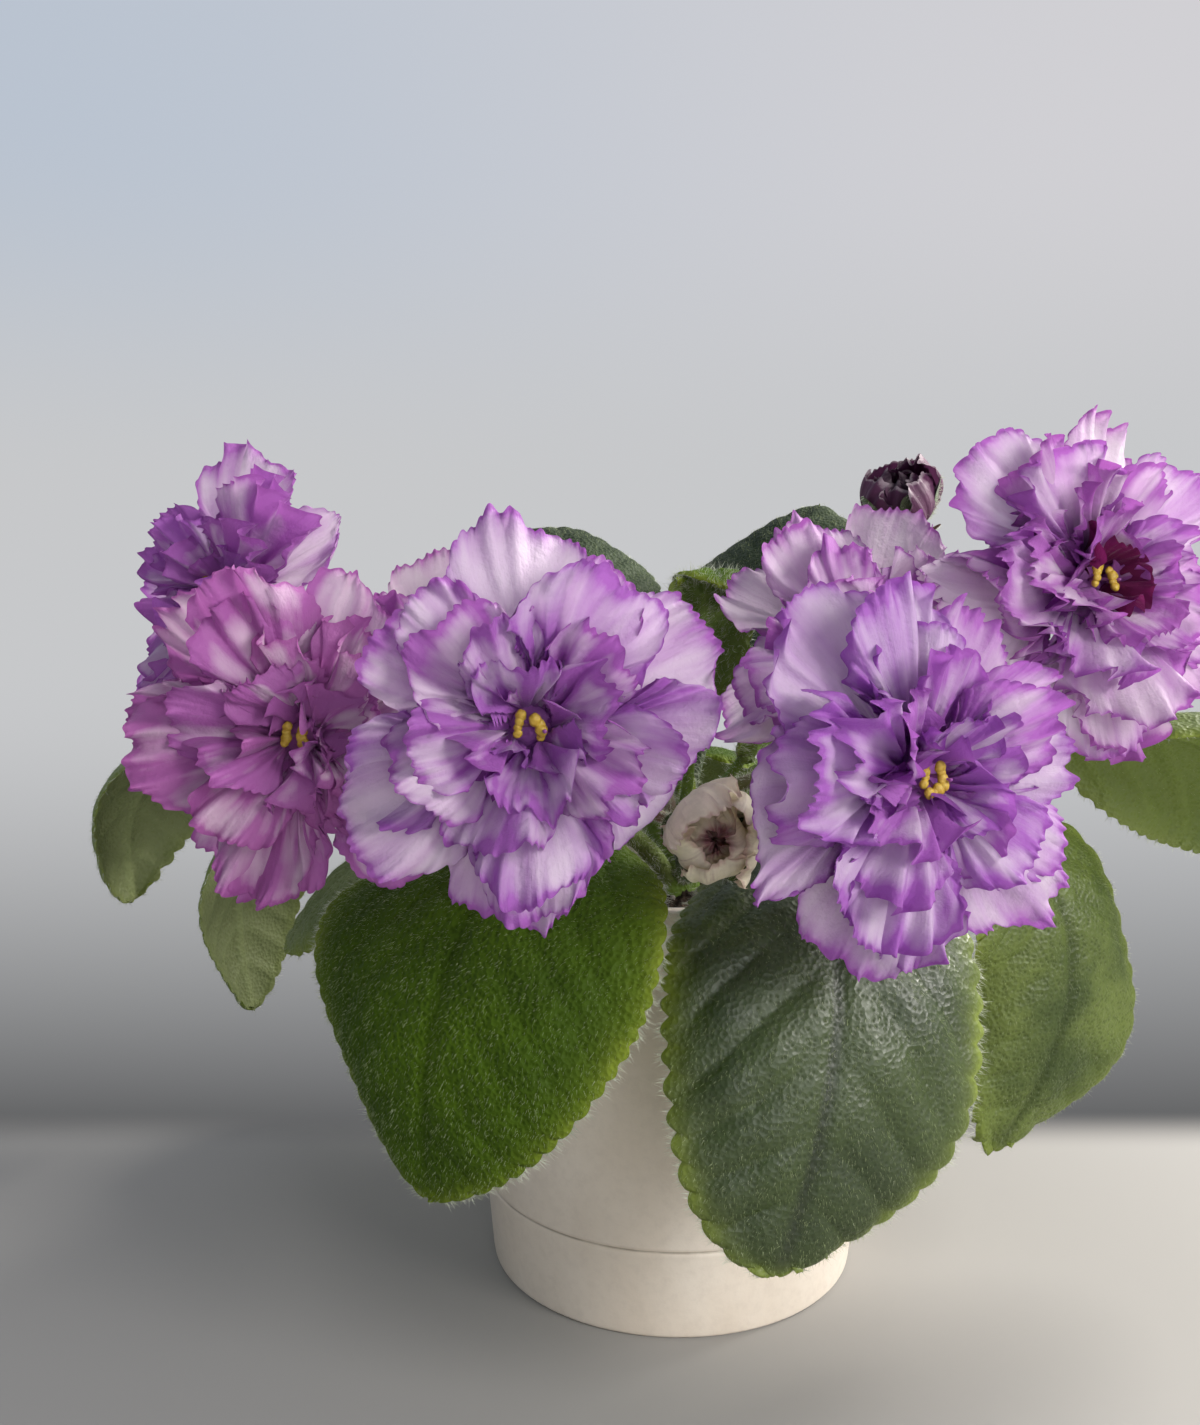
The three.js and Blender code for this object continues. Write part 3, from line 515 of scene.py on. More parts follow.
def leaf_looks(name, dark, light, under, rough, shine, grain_height, rib_painted_shade=0.5,
               rim=(0.24, 0.31, 0.03), through=(0.11, 0.2, 0.004)):
    """dark, light, under: colours of the upper side's patches and of the lower side. rough: the least
    and the most roughness. shine: how strongly the leaf reflects. rib_painted_shade: how far painted shade
    darkens the sunk rib. rim: the margin's yellow-green, a painted glow of light through the thin edge.
    through: the colour of light that has passed through."""
    looks = Looks(name)
    margin, vein, side, rib = looks.values("margin vein side rib")
    place = looks.place()
    patches = looks.noise(place, 55.0, 3.0)
    grain = looks.noise(place, 900.0, 2.0, 0.6)
    cells = looks.cells(place, 1050.0)
    upper = looks.blend(looks.ramp(patches, 0.32, 0.7), dark, light)
    # The hollows at the centres of the fine cells are painted darker, as painted shade. They are also
    # rougher.
    shaded_pits = looks.ramp(cells, 0.1, 0.5, 0.45, 0.0)
    upper = looks.blend(shaded_pits, upper, dimmed(dark, 0.4))
    # Painted shade along the sunk rib of the upper side.
    upper = looks.blend(looks.ramp(rib, 0.0, 2.2, rib_painted_shade, 0.0), upper, dimmed(dark, 0.5))
    # The yellow-green margin is a painted glow of light shining through the thin edge.
    ragged = looks.plus(margin, looks.ramp(patches, 0.3, 0.7, -1.2, 1.2))
    edge = looks.math("EXPONENT", looks.times(looks.most(ragged, 0.0), -0.45))
    edge = looks.times(edge, 0.85)
    upper = looks.blend(edge, upper, rim)
    lower = looks.blend(looks.times(vein, 0.6), under, dimmed(under, 1.3))
    lower = looks.blend(looks.ramp(rib, 0.4, 1.8, 0.5, 0.0), lower, dimmed(under, 1.45))
    # The same painted glow at the margin of the lower side.
    lower = looks.blend(looks.times(edge, 0.6), lower, (0.26, 0.31, 0.08))
    rougher = looks.plus(looks.ramp(grain, 0.3, 0.7, *rough), looks.times(shaded_pits, 0.8))
    looks.set(Base_Color=looks.blend(side, upper, lower), Roughness=rougher, Specular_IOR_Level=shine)
    looks.bump(looks.plus(cells, looks.times(grain, 0.4)), 0.75, grain_height)
    looks.let_through(looks.blend(edge, through, dimmed(rim, 1.7)), 0.26)
    return looks.material


def hair_looks(name, colour):
    looks = Looks(name)
    spots = looks.noise(looks.place(), 300.0, 2.0)
    shade = looks.blend(looks.ramp(spots, 0.3, 0.7), colour, dimmed(colour, 0.75))
    looks.set(Base_Color=shade, Roughness=0.35)
    looks.let_through(shade, 0.4)
    return looks.material


def stalk_looks(name, green, flush):
    looks = Looks(name)
    place = looks.place()
    patches = looks.noise(looks.squeezed(place, 0.35), 160.0, 3.0)
    looks.set(Base_Color=looks.blend(looks.ramp(patches, 0.35, 0.68), green, flush), Roughness=0.5)
    looks.set(Sheen_Weight=0.4, Sheen_Roughness=0.4)
    looks.bump(looks.noise(place, 900.0, 2.0), 0.3, 0.0004)
    return looks.material


def pot_looks():
    looks = Looks("pot")
    (line,) = looks.values("line")
    place = looks.place()
    cloud = looks.noise(looks.squeezed(place, 0.45), 38.0, 4.0)
    fine = looks.noise(place, 420.0, 4.0, 0.65)
    colour = looks.blend(looks.ramp(cloud, 0.3, 0.72), (0.76, 0.665, 0.55), (0.86, 0.78, 0.675))
    colour = looks.blend(looks.ramp(fine, 0.4, 0.75, 0.0, 0.3), colour, (0.62, 0.54, 0.45))
    few = looks.ramp(looks.noise(place, 75.0, 1.0), 0.6, 0.64)
    speck = looks.times(looks.ramp(looks.cells(place, 150.0), 0.05, 0.11, 1.0, 0.0), few)
    colour = looks.blend(looks.times(speck, 0.75), colour, (0.2, 0.12, 0.07))
    broken = looks.ramp(looks.noise(place, 90.0, 3.0), 0.35, 0.6, 0.35, 1.0)
    colour = looks.blend(looks.times(line, broken), colour, (0.3, 0.25, 0.19))
    looks.set(Base_Color=colour, Roughness=looks.ramp(fine, 0.3, 0.7, 0.38, 0.5))
    looks.set(Coat_Weight=0.12, Coat_Roughness=0.3)
    looks.bump(looks.plus(cloud, looks.times(fine, 0.18)), 0.35, 0.0012)
    return looks.material


def soil_looks():
    looks = Looks("soil")
    place = looks.place()
    clods = looks.noise(place, 160.0, 5.0, 0.7)
    fine = looks.noise(place, 900.0, 3.0, 0.6)
    colour = looks.blend(looks.ramp(clods, 0.35, 0.7), (0.018, 0.011, 0.007), (0.07, 0.042, 0.025))
    colour = looks.blend(looks.ramp(fine, 0.62, 0.7), colour, (0.14, 0.09, 0.05))
    looks.set(Base_Color=colour, Roughness=0.95)
    looks.bump(looks.plus(clods, looks.times(fine, 0.4)), 0.8, 0.0015)
    return looks.material


def grit_looks():
    looks = Looks("grit")
    patches = looks.noise(looks.place(), 700.0, 3.0)
    looks.set(Base_Color=looks.blend(patches, (0.26, 0.23, 0.19), (0.58, 0.54, 0.48)), Roughness=0.9)
    looks.bump(patches, 0.6, 0.0005)
    return looks.material


def anther_looks():
    """own: 0 for the yellow pollen sacs, 1 for the violet style."""
    looks = Looks("anther")
    (own,) = looks.values("own")
    grain = looks.noise(looks.place(), 1500.0, 3.0)
    colour = looks.blend(looks.ramp(grain, 0.35, 0.68), (0.4, 0.25, 0.02), (0.56, 0.4, 0.05))
    looks.set(Base_Color=looks.blend(own, colour, (0.3, 0.09, 0.32)), Roughness=0.5)
    looks.bump(grain, 0.5, 0.0003)
    return looks.material


def bud_looks(name, flesh, lip, stain_and_shade):
    """flesh, lip: colours of the petals and of their lips. stain: the colour of their streaks, which also
    paints the shade deep between them.
    """
    looks = Looks(name)
    margin, across, along, own, deep, layer = looks.values("margin across along own deep layer")
    streak = looks.noise(looks.vector(looks.times(across, 5.0), along, own), 1.8, 4.0, 0.6)
    mottle = looks.noise(looks.place(), 260.0, 4.0, 0.6)
    colour = looks.blend(looks.ramp(mottle, 0.35, 0.7), flesh, dimmed(flesh, 0.82))
    colour = looks.blend(looks.ramp(streak, 0.5, 0.75, 0.0, 0.4), colour, stain_and_shade)
    depth = looks.plus(margin, looks.ramp(mottle, 0.3, 0.7, -0.6, 0.6))
    colour = looks.blend(looks.ramp(depth, 0.1, 1.2, 0.8, 0.0), colour, lip)
    # Painted shade: darker deep in the bud's mouth and over its inner petals.
    inward = looks.plus(deep, looks.times(layer, 0.45), clamp=True)
    colour = looks.blend(looks.times(inward, looks.ramp(streak, 0.2, 0.6, 0.55, 1.0)), colour, stain_and_shade)
    looks.set(Base_Color=colour, Roughness=0.6)
    looks.bump(looks.plus(mottle, looks.times(streak, 0.6)), 0.5, 0.0008)
    looks.let_through(colour, 0.25)
    return looks.material


# ---------------------------------------------------------------- pot, soil and crown
def wall_radius(height):
    return POT.foot + (POT.rim - POT.foot) * height / POT.height


def outer(height):
    """The radius and height of a point on the outside of the pot's wall."""
    return float(wall_radius(height)), height


def inner(height):
    return float(wall_radius(height)) - POT.wall, height


def turned(profile, count, sway=0.0):
    """A grid of points turned about +Z from rows of radius and height."""
    angle = around(count)
    radius = profile[:, :1] * (1 + sway * sin(2 * angle[None] + profile[:, 1:] / 40))
    height = np.broadcast_to(profile[:, 1:], radius.shape)
    return stack([radius * cos(angle), radius * sin(angle), height], -1)


def arc(centre, radius, start, stop, steps):
    angle = radians(linspace(start, stop, steps))
    return [(centre[0] + radius * cos(a), centre[1] + radius * sin(a)) for a in angle]


def make_pot():
    sides = 192
    height, chamfer, lip, floor = POT.height, POT.chamfer, POT.round, POT.floor
    line, half = POT_LINE.height, POT_LINE.half
    profile = [(TINY, 0), (POT.foot * 0.5, 0), (POT.foot - chamfer * 1.3, 0)]
    profile += arc((POT.foot - chamfer, chamfer), chamfer, -90, 0, 6)
    profile += [outer(z) for z in linspace(2, line - 1, 12)]
    for share in linspace(-1, 1, 9):
        radius, z = outer(line + share * half)
        profile.append((radius - POT_LINE.depth * (1 - abs(share)) ** 0.8, z))
    profile += [outer(z) for z in linspace(line + 1, height - lip * 1.4, 36)]
    last_outside = len(profile) - 5
    profile += arc((outer(height)[0] - lip, height - lip), lip, 0, 90, 8)
    profile += arc((inner(height)[0] + lip, height - lip), lip, 90, 180, 8)
    profile += [inner(z) for z in linspace(height - 2 * lip, floor + 2, 20)]
    profile += [(inner(floor)[0] - 2, floor), (TINY, floor)]
    profile = np.array(profile)
    near = abs(profile[:, 1] - line) / (half * 0.75)
    mark = np.where(np.arange(len(profile)) <= last_outside, clip(1 - near, 0, 1), 0)
    skin = Skin()
    skin.grid(turned(profile, sides, sway=0.0012), wrap=True, line=np.repeat(mark, sides))
    skin.build("pot_glazed", pot_looks(), "pot", "pot")


GRIT = Group(pieces=170, least=0.4, more=1.1, rough=0.22, flat=0.75)


def make_soil():
    rim = inner(SOIL_TOP)[0] - GAP
    low = inner(POT.floor)[0] - GAP
    floor = POT.floor + GAP
    radius = linspace(CROWN.radius - 1.5, rim, 46)
    profile = [(radius[0], SOIL_TOP - SOIL.hole)]
    profile += [(r, SOIL_TOP + SOIL.mound * (1 - r / rim)) for r in radius]
    profile += [(rim, SOIL_TOP - 3), (low, floor), (TINY, floor)]
    grid = turned(np.array(profile), 200)
    x, y, top = (grid[1 : len(radius) + 1, :, k] for k in range(3))
    top += 0.9 * ripples(x, y, 3, 9) + 0.5 * ripples(x, y, 4, 3.4) + 0.3 * ripples(x, y, 5, 1.7)
    skin = Skin()
    skin.grid(grid, wrap=True)
    skin.build("soil_mix", soil_looks(), "soil", "soil")
    # Pale crumbs over the top.
    random = np.random.default_rng(11)
    grit = Skin()
    for _ in range(GRIT.pieces):
        spot = rim * 0.97 * sqrt(random.uniform(0.04, 1))
        turn = random.uniform(0, ABOUT_A_TURN)
        size = GRIT.least + GRIT.more * random.uniform() ** 2
        height = SOIL_TOP + SOIL.mound * (1 - spot / rim) + 0.4
        lump = 1 + GRIT.rough * random.normal(size=(6, 9))
        if spot > CROWN.radius + 2:
            ball = lump[..., None] * size * ellipsoid(0, np.eye(3), (1, 1, GRIT.flat), *lump.shape, 0.15)
            grit.grid(ball + vector((spot * cos(turn), spot * sin(turn), height)), wrap=True)
    grit.build("soil_grit", grit_looks(), "soil")


def root_of(root):
    angle, level = radians(root[0]), root[1]
    out = vector((cos(angle), sin(angle), 0)) * CROWN.radius * CROWN.roots
    return out + level * UP


def make_crown(looks, hairs):
    skin = Skin()
    bottom = SOIL_TOP - SOIL.hole + GAP
    radius, top = CROWN.radius, CROWN.top
    profile = [(TINY, bottom), (radius * 0.7, bottom), (radius, bottom + 4)]
    profile += [(radius * (1 - 0.02 * sin(z)), z) for z in linspace(bottom + 6, top - 3, 14)]
    profile += [(radius * 0.88, top - 1.2), (radius * 0.6, top + 0.2), (TINY, top + 1)]
    grid = turned(np.array(profile), 40)
    bumps = 0.35 * ripples(np.arctan2(grid[..., 1], grid[..., 0]) * 5, grid[..., 2], 8, 5)
    grid = grid + unit(grid * (1, 1, 0)) * bumps[..., None]
    skin.grid(grid, wrap=True, margin=9.0, vein=0.0, side=0.6, rib=1.0)
    above_soil = 8  # the first row that does not lie in the soil
    hairs.over(grid[above_soil:], grid_normals(grid)[above_soil:] * -1, 500, HAIR.crown)
    t, u = np.meshgrid(linspace(0, 1, 26), linspace(-1, 1, 15), indexing="ij")
    for k in range(CROWN.leaflets):
        angle = pi * (k * 0.77 + 0.3)
        out = vector((cos(angle), sin(angle), 0))
        aside = vector((-out[1], out[0], 0))
        length = CROWN.leaflet * (1 - 0.11 * k)
        half = CROWN.leaflet_width / 2 * sin(pi * (0.1 + 0.86 * t)) * (1 - 0.1 * k)
        rise = top - 2 + length * t * (1 - 0.18 * t)
        outward = 2 + length * 0.25 * t * t - 1.4 * abs(u) * t + 0.3 * sin(9 * t + k)
        sheet = moved(0, (UP, out, aside), rise, outward, half * u)
        normals = grid_normals(sheet)
        for sign, lower in ((1, 0.0), (-1, 1.0)):
            face = sheet + normals * 0.4 * sign
            skin.grid(face, margin=(1 - abs(u)) * half, vein=0.0, side=lower, rib=abs(u) * half)
            hairs.over(face, normals * sign, 420, HAIR.leaflet)
    skin.build("crown_leaflets", looks, "leaf", "crown")


# ---------------------------------------------------------------- leaves
def rib_frames(leaf, distances, from_foot):
    """Places along the rib, with the directions to its side, off the blade and along, and where the
    blade starts. from_foot: the distances are measured from the blade's foot."""
    guides = [root_of(leaf.root), *leaf.guide]
    fine = bezier(guides, linspace(0, 1, 401))
    steps = np.linalg.norm(np.diff(fine, axis=0), axis=1)
    lengths = concatenate([[0], np.cumsum(steps)])
    total = lengths[-1]
    start = total - leaf.length
    where = distances + (start if from_foot else 0)
    tangents = unit(gradient(fine, axis=0))
    inside = clip(where, 0, total)
    point, along = (
        stack([interp(inside, lengths, values[:, k]) for k in range(3)], -1) for values in (fine, tangents))
    along = unit(along)
    point = point + along * (where - inside)[:, None]
    ahead = unit((fine[-1] - fine[0]) * (1, 1, 0))
    level = cross(ahead, UP)
    side = unit(level - along * (along @ level)[:, None])
    rolled = ease(start * 0.6, start + leaf.length * 0.45, where)
    side = turned_about(along, side, radians(leaf.roll) * rolled)
    return point, side, cross(side, along), along, start


def outline_of(leaf, t):
    foot, tip = leaf.outline
    widest = foot / (foot + tip)
    most = widest**foot * (1 - widest) ** tip
    sway = 1 + leaf.sway * sin(TURN * t / 0.45 - 1.2)
    return leaf.width / 2 * sway * t**foot * (1 - t) ** tip / most


def flat_blade(leaf, rows, across, seed):
    """How far along the rib and aside each point of the flat blade is, the outline's half width at
    each row, and the outline's length."""
    t = linspace(0.0005, 0.9995, 1200)
    x, y = t * leaf.length, outline_of(leaf, t)
    run = concatenate([[0], np.cumsum(np.hypot(np.diff(x), np.diff(y)))])
    places = linspace(0, run[-1], rows)
    bx, by = interp(places, run, x), interp(places, run, y)
    nx, ny = gradient(by), -gradient(bx)
    size = np.hypot(nx, ny)
    nx, ny = -nx / size, -ny / size
    along = places / run[-1]
    teeth = max(7, round(run[-1] / leaf.pitch))
    tooth = leaf.tooth * min(1, leaf.width / 45)
    gx, gy = np.zeros((2, rows, len(across)))
    for j, value in enumerate(across):
        phase = along * teeth + 0.5 * (value < 0)
        phase = phase + 0.1 * sin(places / 5.3 + seed) + 0.04 * sin(places / 2.1 + 2 * seed)
        scallop = (abs(sin(pi * phase)) ** 0.8 - 0.6) * 1.5 * tooth
        scallop *= ease(0, 0.08, along) * (0.6 + 0.4 * ease(1.0, 0.9, along))
        edge_x, edge_y = bx + nx * scallop, maximum(by + ny * scallop, 0)
        share = abs(value)
        gx[:, j] = mix(bx, edge_x, share**5)
        gy[:, j] = np.sign(value) * (by * share + (edge_y - by) * share**5)
    return gx, gy, by, run[-1]


def outward_normals(grid, off):
    normals = grid_normals(grid)
    return normals * np.sign((normals * off).sum(-1).mean())


def round_the_edge(grid):
    """The points at the edge of a grid, once round."""
    return concatenate([grid[0], grid[1:-1, -1], grid[-1, ::-1], grid[1:-1, 0][::-1]])


def make_leaf(name, leaf, looks, down, fringe, seed, near):
    """near: 1 for the leaves in front, less where fewer hairs and points do."""
    length, width = leaf.length, leaf.width
    rows, columns = int(130 * near + 60), 2 * int(18 * near + 9) + 1
    u = linspace(-1, 1, columns)
    u = np.sign(u) * abs(u) ** 0.85
    gx, gy, half, run = flat_blade(leaf, rows, u, seed)
    # Bend the blade along its rib, and its halves down.
    point, side, off, ahead = (
        values.reshape(rows, columns, 3) for values in rib_frames(leaf, gx.reshape(-1), True)[:4])
    droop = radians(leaf.cup) * abs(u)[None] + 1e-6 + 0 * gx
    grid = point + side * (gy * sin(droop) / droop)[..., None]
    grid = grid - off * (abs(gy) * (1 - cos(droop)) / droop)[..., None]
    normals = outward_normals(grid, off)
    # Veins, the bulges between them and the waves of the edge.
    aside, half = abs(gy), maximum(half, 0.01)[:, None]
    reach = clip(aside / half, 0, 1)
    sweep = (gx - aside * VEINS.slant - VEINS.bow * aside**2) / (length / VEINS.count)
    ridge = abs(sin(pi * (sweep + 0.1 * sin(gx / 7 + seed))))
    vein = (1 - ridge) ** 5 * ease(0, 0.05, reach) * (1 - ease(0.75, 1.0, reach))
    rib = exp(-((aside / (0.6 + 0.9 * (1 - gx / length))) ** 2)) * (1 - ease(0.8, 1, gx / length))
    puff = (ridge**0.7 - 0.5) * VEINS.bulge * ease(0.02, 0.3, reach) * (1 - ease(0.7, 1.0, reach))
    puff = puff + VEINS.roll * ripples(gx, gy, seed + 7, 15, 3) * (1 - ease(0.85, 1, reach))
    puff = puff * leaf.quilt * width / 58 - VEINS.rib * rib
    wave = leaf.wave * width / 60 * ease(0.45, 1, reach)
    wave = wave * sin(gx / 8.5 + 2 * np.sign(gy) + seed) * ease(0, 0.25, gx / length)
    grid = grid + normals * (puff + wave)[..., None]
    normals = outward_normals(grid, off)
    # The two faces and the strip that joins them.
    margin = (1 - abs(u))[None] * half + 0 * gx
    margin = minimum(margin, length - gx + 0.3 * margin)
    thick = leaf.thickness / 2 * sqrt(clip(margin / 1.2, 0.06, 1))
    keel = leaf.keel * rib * (1 - gx / length) * 1.2
    upper = grid + normals * thick[..., None]
    under = grid - normals * (thick + keel + VEINS.height * vein)[..., None]
    skin = Skin()
    skin.grid(upper, margin=margin, vein=vein, rib=aside, side=0.0)
    skin.grid(under[:, ::-1], margin=margin[:, ::-1], vein=vein[:, ::-1], rib=aside[:, ::-1], side=1.0)
    strip = stack([round_the_edge(upper), round_the_edge(under)], 1)
    skin.grid(strip, margin=0.0, vein=0.0, side=0.3, rib=9.0)
    # The stalk.
    steps = linspace(0, 1, 34)
    start = rib_frames(leaf, vector([0.0]), True)[4]
    centre, _, above, _, _ = rib_frames(leaf, (start + leaf.sunk) * steps, False)
    thickness = leaf.stalk + leaf.share * width
    radii = mix(thickness, thickness * leaf.taper, steps)
    centre = centre - above * (radii * steps**2)[:, None]
    stalk = tube(skin, centre, radii, 14, margin=9.0, vein=0.3, side=0.75, rib=9.0)
    # Hairs: on the stalk, over the blade, and a fringe at its margin.
    fringe.over(*stalk, int(900 * near + 250), HAIR.stalk)
    area = length * width * 0.7
    if name.startswith("young"):
        for face, out in ((upper, normals), (under, -normals)):
            fringe.over(face, out, int(area * 2.2), HAIR.young, lean=0.4 * ahead)
    else:
        down.over(upper, normals, int(area * (2.0 * near + 0.3)), HAIR.blade, lean=0.9 * ahead, width=0.08)
        down.over(under, -normals, int(area * 0.3), HAIR.under, lean=0.6 * ahead)
    random = np.random.default_rng(seed)
    count = int(run * (6.0 * near + 1.2))
    for column, beside in ((0, 1), (-1, -2)):
        outward = unit(grid[:, column] - grid[:, beside])
        spots = random.uniform(0, rows - 1.001, count)
        low = spots.astype(int)
        roots = mix(grid[low, column], grid[low + 1, column], (spots - low)[:, None])
        directions = outward[low] + 0.35 * normals[low, column] + 0.3 * ahead[low, column]
        fringe.grow(roots, directions, HAIR.margin, width=0.11)
    skin.build("leaf_blade_" + name, looks, "leaf", "leaf_" + name)


# ---------------------------------------------------------------- flowers
def face_of(facing):
    """The directions to the front, the right and the top of a flower."""
    front = unit(vector(facing))
    right = unit(cross(UP, front))
    return front, right, cross(front, right)


def walls_of(name):
    """Each wall's place, the normal that points away from the flower, and on which side it is."""
    walls = []
    for first, second, at, normal in WALLS:
        if first == name:
            walls.append((vector(at), unit(vector(normal)), 1))
        if second == name:
            walls.append((vector(at), -unit(vector(normal)), -1))
    return walls


def swell(points, normal):
    """How far a wall is pushed along its normal. The flowers on both of its sides follow it."""
    side = unit(cross(normal, (0.2, 0.3, 0.93)))
    x, y = points @ side, points @ cross(normal, side)
    return 1.2 * sin(x / 2.1 + 1.6 * sin(y / 4.6)) + 0.9 * sin(y / 2.5 + x / 6)


def pressed(points, walls):
    """The points, held back by the walls."""
    for softness in (PETAL.softness, 0.8, 0.8):
        for at, normal, sign in walls:
            shift = sign * swell(points, sign * normal)
            past = (points - at) @ normal - shift + PETAL.clearance
            slide = -(softness**2) / (maximum(past, -softness) + 2 * softness) - past
            points = points + np.where(past > -softness, slide, 0)[..., None] * normal
    return points


def petal_of(ring, clock, bloom, draw):
    """A petal of the ring, at this angle round the flower, a little unlike the others."""
    longest, share = bloom.longest
    reach = bloom.reach * (1 + share * cos(radians(clock - longest)))
    petal = Group(**vars(ring))
    petal.clock = radians(clock + 14 * (draw() - 0.5))
    petal.length = reach * ring.reach * (0.92 + 0.16 * draw())
    petal.lift = [radians(lift + 16 * (draw() - 0.5)) for lift in ring.lift]
    petal.spread = radians(ring.spread * (0.92 + 0.2 * draw()))
    petal.fold = ring.fold * reach * (0.7 + 0.6 * draw())
    petal.frill = ring.frill * reach * (0.8 + 0.4 * draw())
    petal.cup = ring.cup + 0.15 * (draw() - 0.5)
    petal.phase = [6.3 * draw() for _ in range(3)]
    return petal


def petal_points(petal, u, v):
    """As in the solid, with rounder shoulders and a ruffled and crimped margin. u runs from -1 to 1
    across the petal, and v from its root to its tip."""
    p, q, r = petal.phase
    length, frill = petal.length, petal.frill
    spread = petal.spread * (0.5 + 0.5 * v)
    # round_it runs round the margin.
    round_it = length * petal.spread * u + np.sign(u) * abs(u) ** 3 * (1 - v) * length
    ruffle = round_it / RUFFLE.pitch + RUFFLE.wander * sin(round_it / RUFFLE.over + p) + q
    crimp = round_it / CRIMP.pitch + CRIMP.wander * sin(round_it / CRIMP.over + q) + r
    scallop = 0.6 * (abs(sin(crimp / 2)) ** 0.8 - 0.6) + 0.55 * sin(ruffle / 2 + p)
    scallop = scallop * min(1, length / 18)
    shoulder = sqrt(1 - 0.5 * clip((v - 0.55) / 0.45, 0, 1) ** 2)
    width = maximum(v * length * sin(spread), 0.01)
    angle = u * spread * shoulder * (1 + abs(u) ** 5 * scallop * v / (width + 2))
    lobes = PETAL.lobes[0] * sin(3.1 * u + r) + PETAL.lobes[1] * sin(7 * u + p)
    round_off = PETAL.roundness * (0.35 * u * u + 0.75 * abs(u) ** 4)
    from_root = v * length * (1 - round_off * v + lobes * v**4) + scallop * v**7
    aside, ahead = from_root * sin(angle), from_root * cos(angle)
    low, high = petal.lift
    bend = (high - low) * ahead / length + 1e-5
    lift = low + bend
    top_margin, side_margin = (1 - v) * length, (1 - abs(u)) * width
    margin = top_margin * side_margin / sqrt(top_margin**2 + side_margin**2 + 1e-6)
    close = exp(-margin / RUFFLE.near) * ease(0.1, 0.5, v)
    tight = exp(-margin / CRIMP.near) * ease(0.2, 0.6, v)
    off = petal.lean * aside + petal.cup * aside**2 / length
    off = off + petal.fold * v * v * sin(2.6 * u + p)
    off = off + 0.7 * frill * v**2 * sin(4.6 * u + q + sin(3 * u + r))
    off = off + frill * (0.66 + 0.5 * sin(round_it / 6.5 + r)) * close * sin(ruffle)
    off = off + CRIMP.height * frill * tight * sin(crimp)
    out = ahead * (sin(lift) - sin(low)) / bend - off * sin(lift) + petal.throat
    up = ahead * (cos(low) - cos(lift)) / bend + off * cos(lift) + petal.level
    return aside, out, up, margin


def add_petal(skin, petal, face, at, walls, fine, **values):
    v = mix(PETAL.root, 1, 1 - (1 - linspace(0, 1, int(30 * fine) + 6)) ** 1.25)
    u = linspace(-1, 1, 2 * int(47 * fine) + 9)
    u = np.sign(u) * (1 - (1 - abs(u)) ** 1.15)
    v, u = np.meshgrid(v, u, indexing="ij")
    aside, out, up, margin = petal_points(petal, u, v)
    if hasattr(petal, "wrapped"):
        turn = aside / maximum(out, petal.wrapped)
        out, aside = maximum(out, 0.4) * cos(turn), maximum(out, 0.4) * sin(turn)
    cosine, sine = cos(petal.clock), sin(petal.clock)
    points = moved(at, face, up, out * cosine - aside * sine, out * sine + aside * cosine)
    skin.grid(pressed(points, walls), margin=margin, along=v, across=u, **values)


def make_bloom(name, bloom, looks):
    draw = drawer(bloom.seed)
    extra = drawer(bloom.seed + 1000)
    face, at, walls, number = face_of(bloom.facing), vector(bloom.at), walls_of(name), bloom.seed * 3.7
    skin = Skin()

    def tints(ring):
        return dict(
            wash=bloom.wash + 0.19 * ring + 0.16 * (extra() - 0.5),
            hue=min(1, max(0, bloom.hue + 0.2 * (extra() - 0.5))),
            band=bloom.band * (0.8 + 0.4 * extra()),
            own=number + 10 * extra(),
        )

    for k, (ring, count) in enumerate(zip(RINGS, bloom.petals)):
        for n in range(count):
            petal = petal_of(ring, bloom.turn[k] + 360 * n / count, bloom, draw)
            add_petal(skin, petal, face, at, walls, 1.0 - 0.22 * k, **tints(k))
    for k, ring in enumerate(MORE_RINGS):
        count = ring.count - (bloom.reach < SMALL_BLOOM and k < 2)
        for n in range(count):
            petal = petal_of(ring, bloom.turn[0] + ring.turn + 360 * n / count, bloom, extra)
            add_petal(skin, petal, face, at, walls, 0.92 - 0.24 * k, **tints(k + 0.5))
    for n in range(bloom.dark):
        petal = petal_of(MORE_RINGS[2], 300 + 52 * n, bloom, extra)
        petal.lift = [1.4, 0.5 + 0.4 * extra()]
        add_petal(skin, petal, face, at, walls, 0.5, **dict(tints(1), wash=DARK_WASH))
    # The core that joins the petals.
    levels = linspace(CORE.levels[0], CORE.levels[-1], 12)
    radii = np.append(interp(levels, CORE.levels, CORE.radii) * CORE.share, TINY)[:, None]
    levels = np.append(levels, levels[-1])[:, None]
    angle = around(24)
    core = moved(at, face, levels, radii * cos(angle), radii * sin(angle))
    looks_of_core = dict(margin=9.0, along=0.05, across=0.0, wash=0.6, hue=bloom.hue, band=1.0, own=number)
    skin.grid(core, wrap=True, **looks_of_core)
    skin.build("petals_" + name, looks, "petal", "bloom_" + name)


# A stamen's height and the radius of its thread, the size of its pollen sacs, how far each of them
# may exceed these, and how far apart the sacs are.
STAMEN = Group(height=2.9, taller=0.8, thread=0.3, sacs=4, sac=0.62, larger=0.42, apart=0.95)
# Where the stamens end: how far right and up each does, and the right and up of its row of sacs.
HEADS = ((-1.35, 0.5, 0.2, 1), (1.3, -0.1, -0.3, 1), (0.1, -2.1, 1, 0.3))


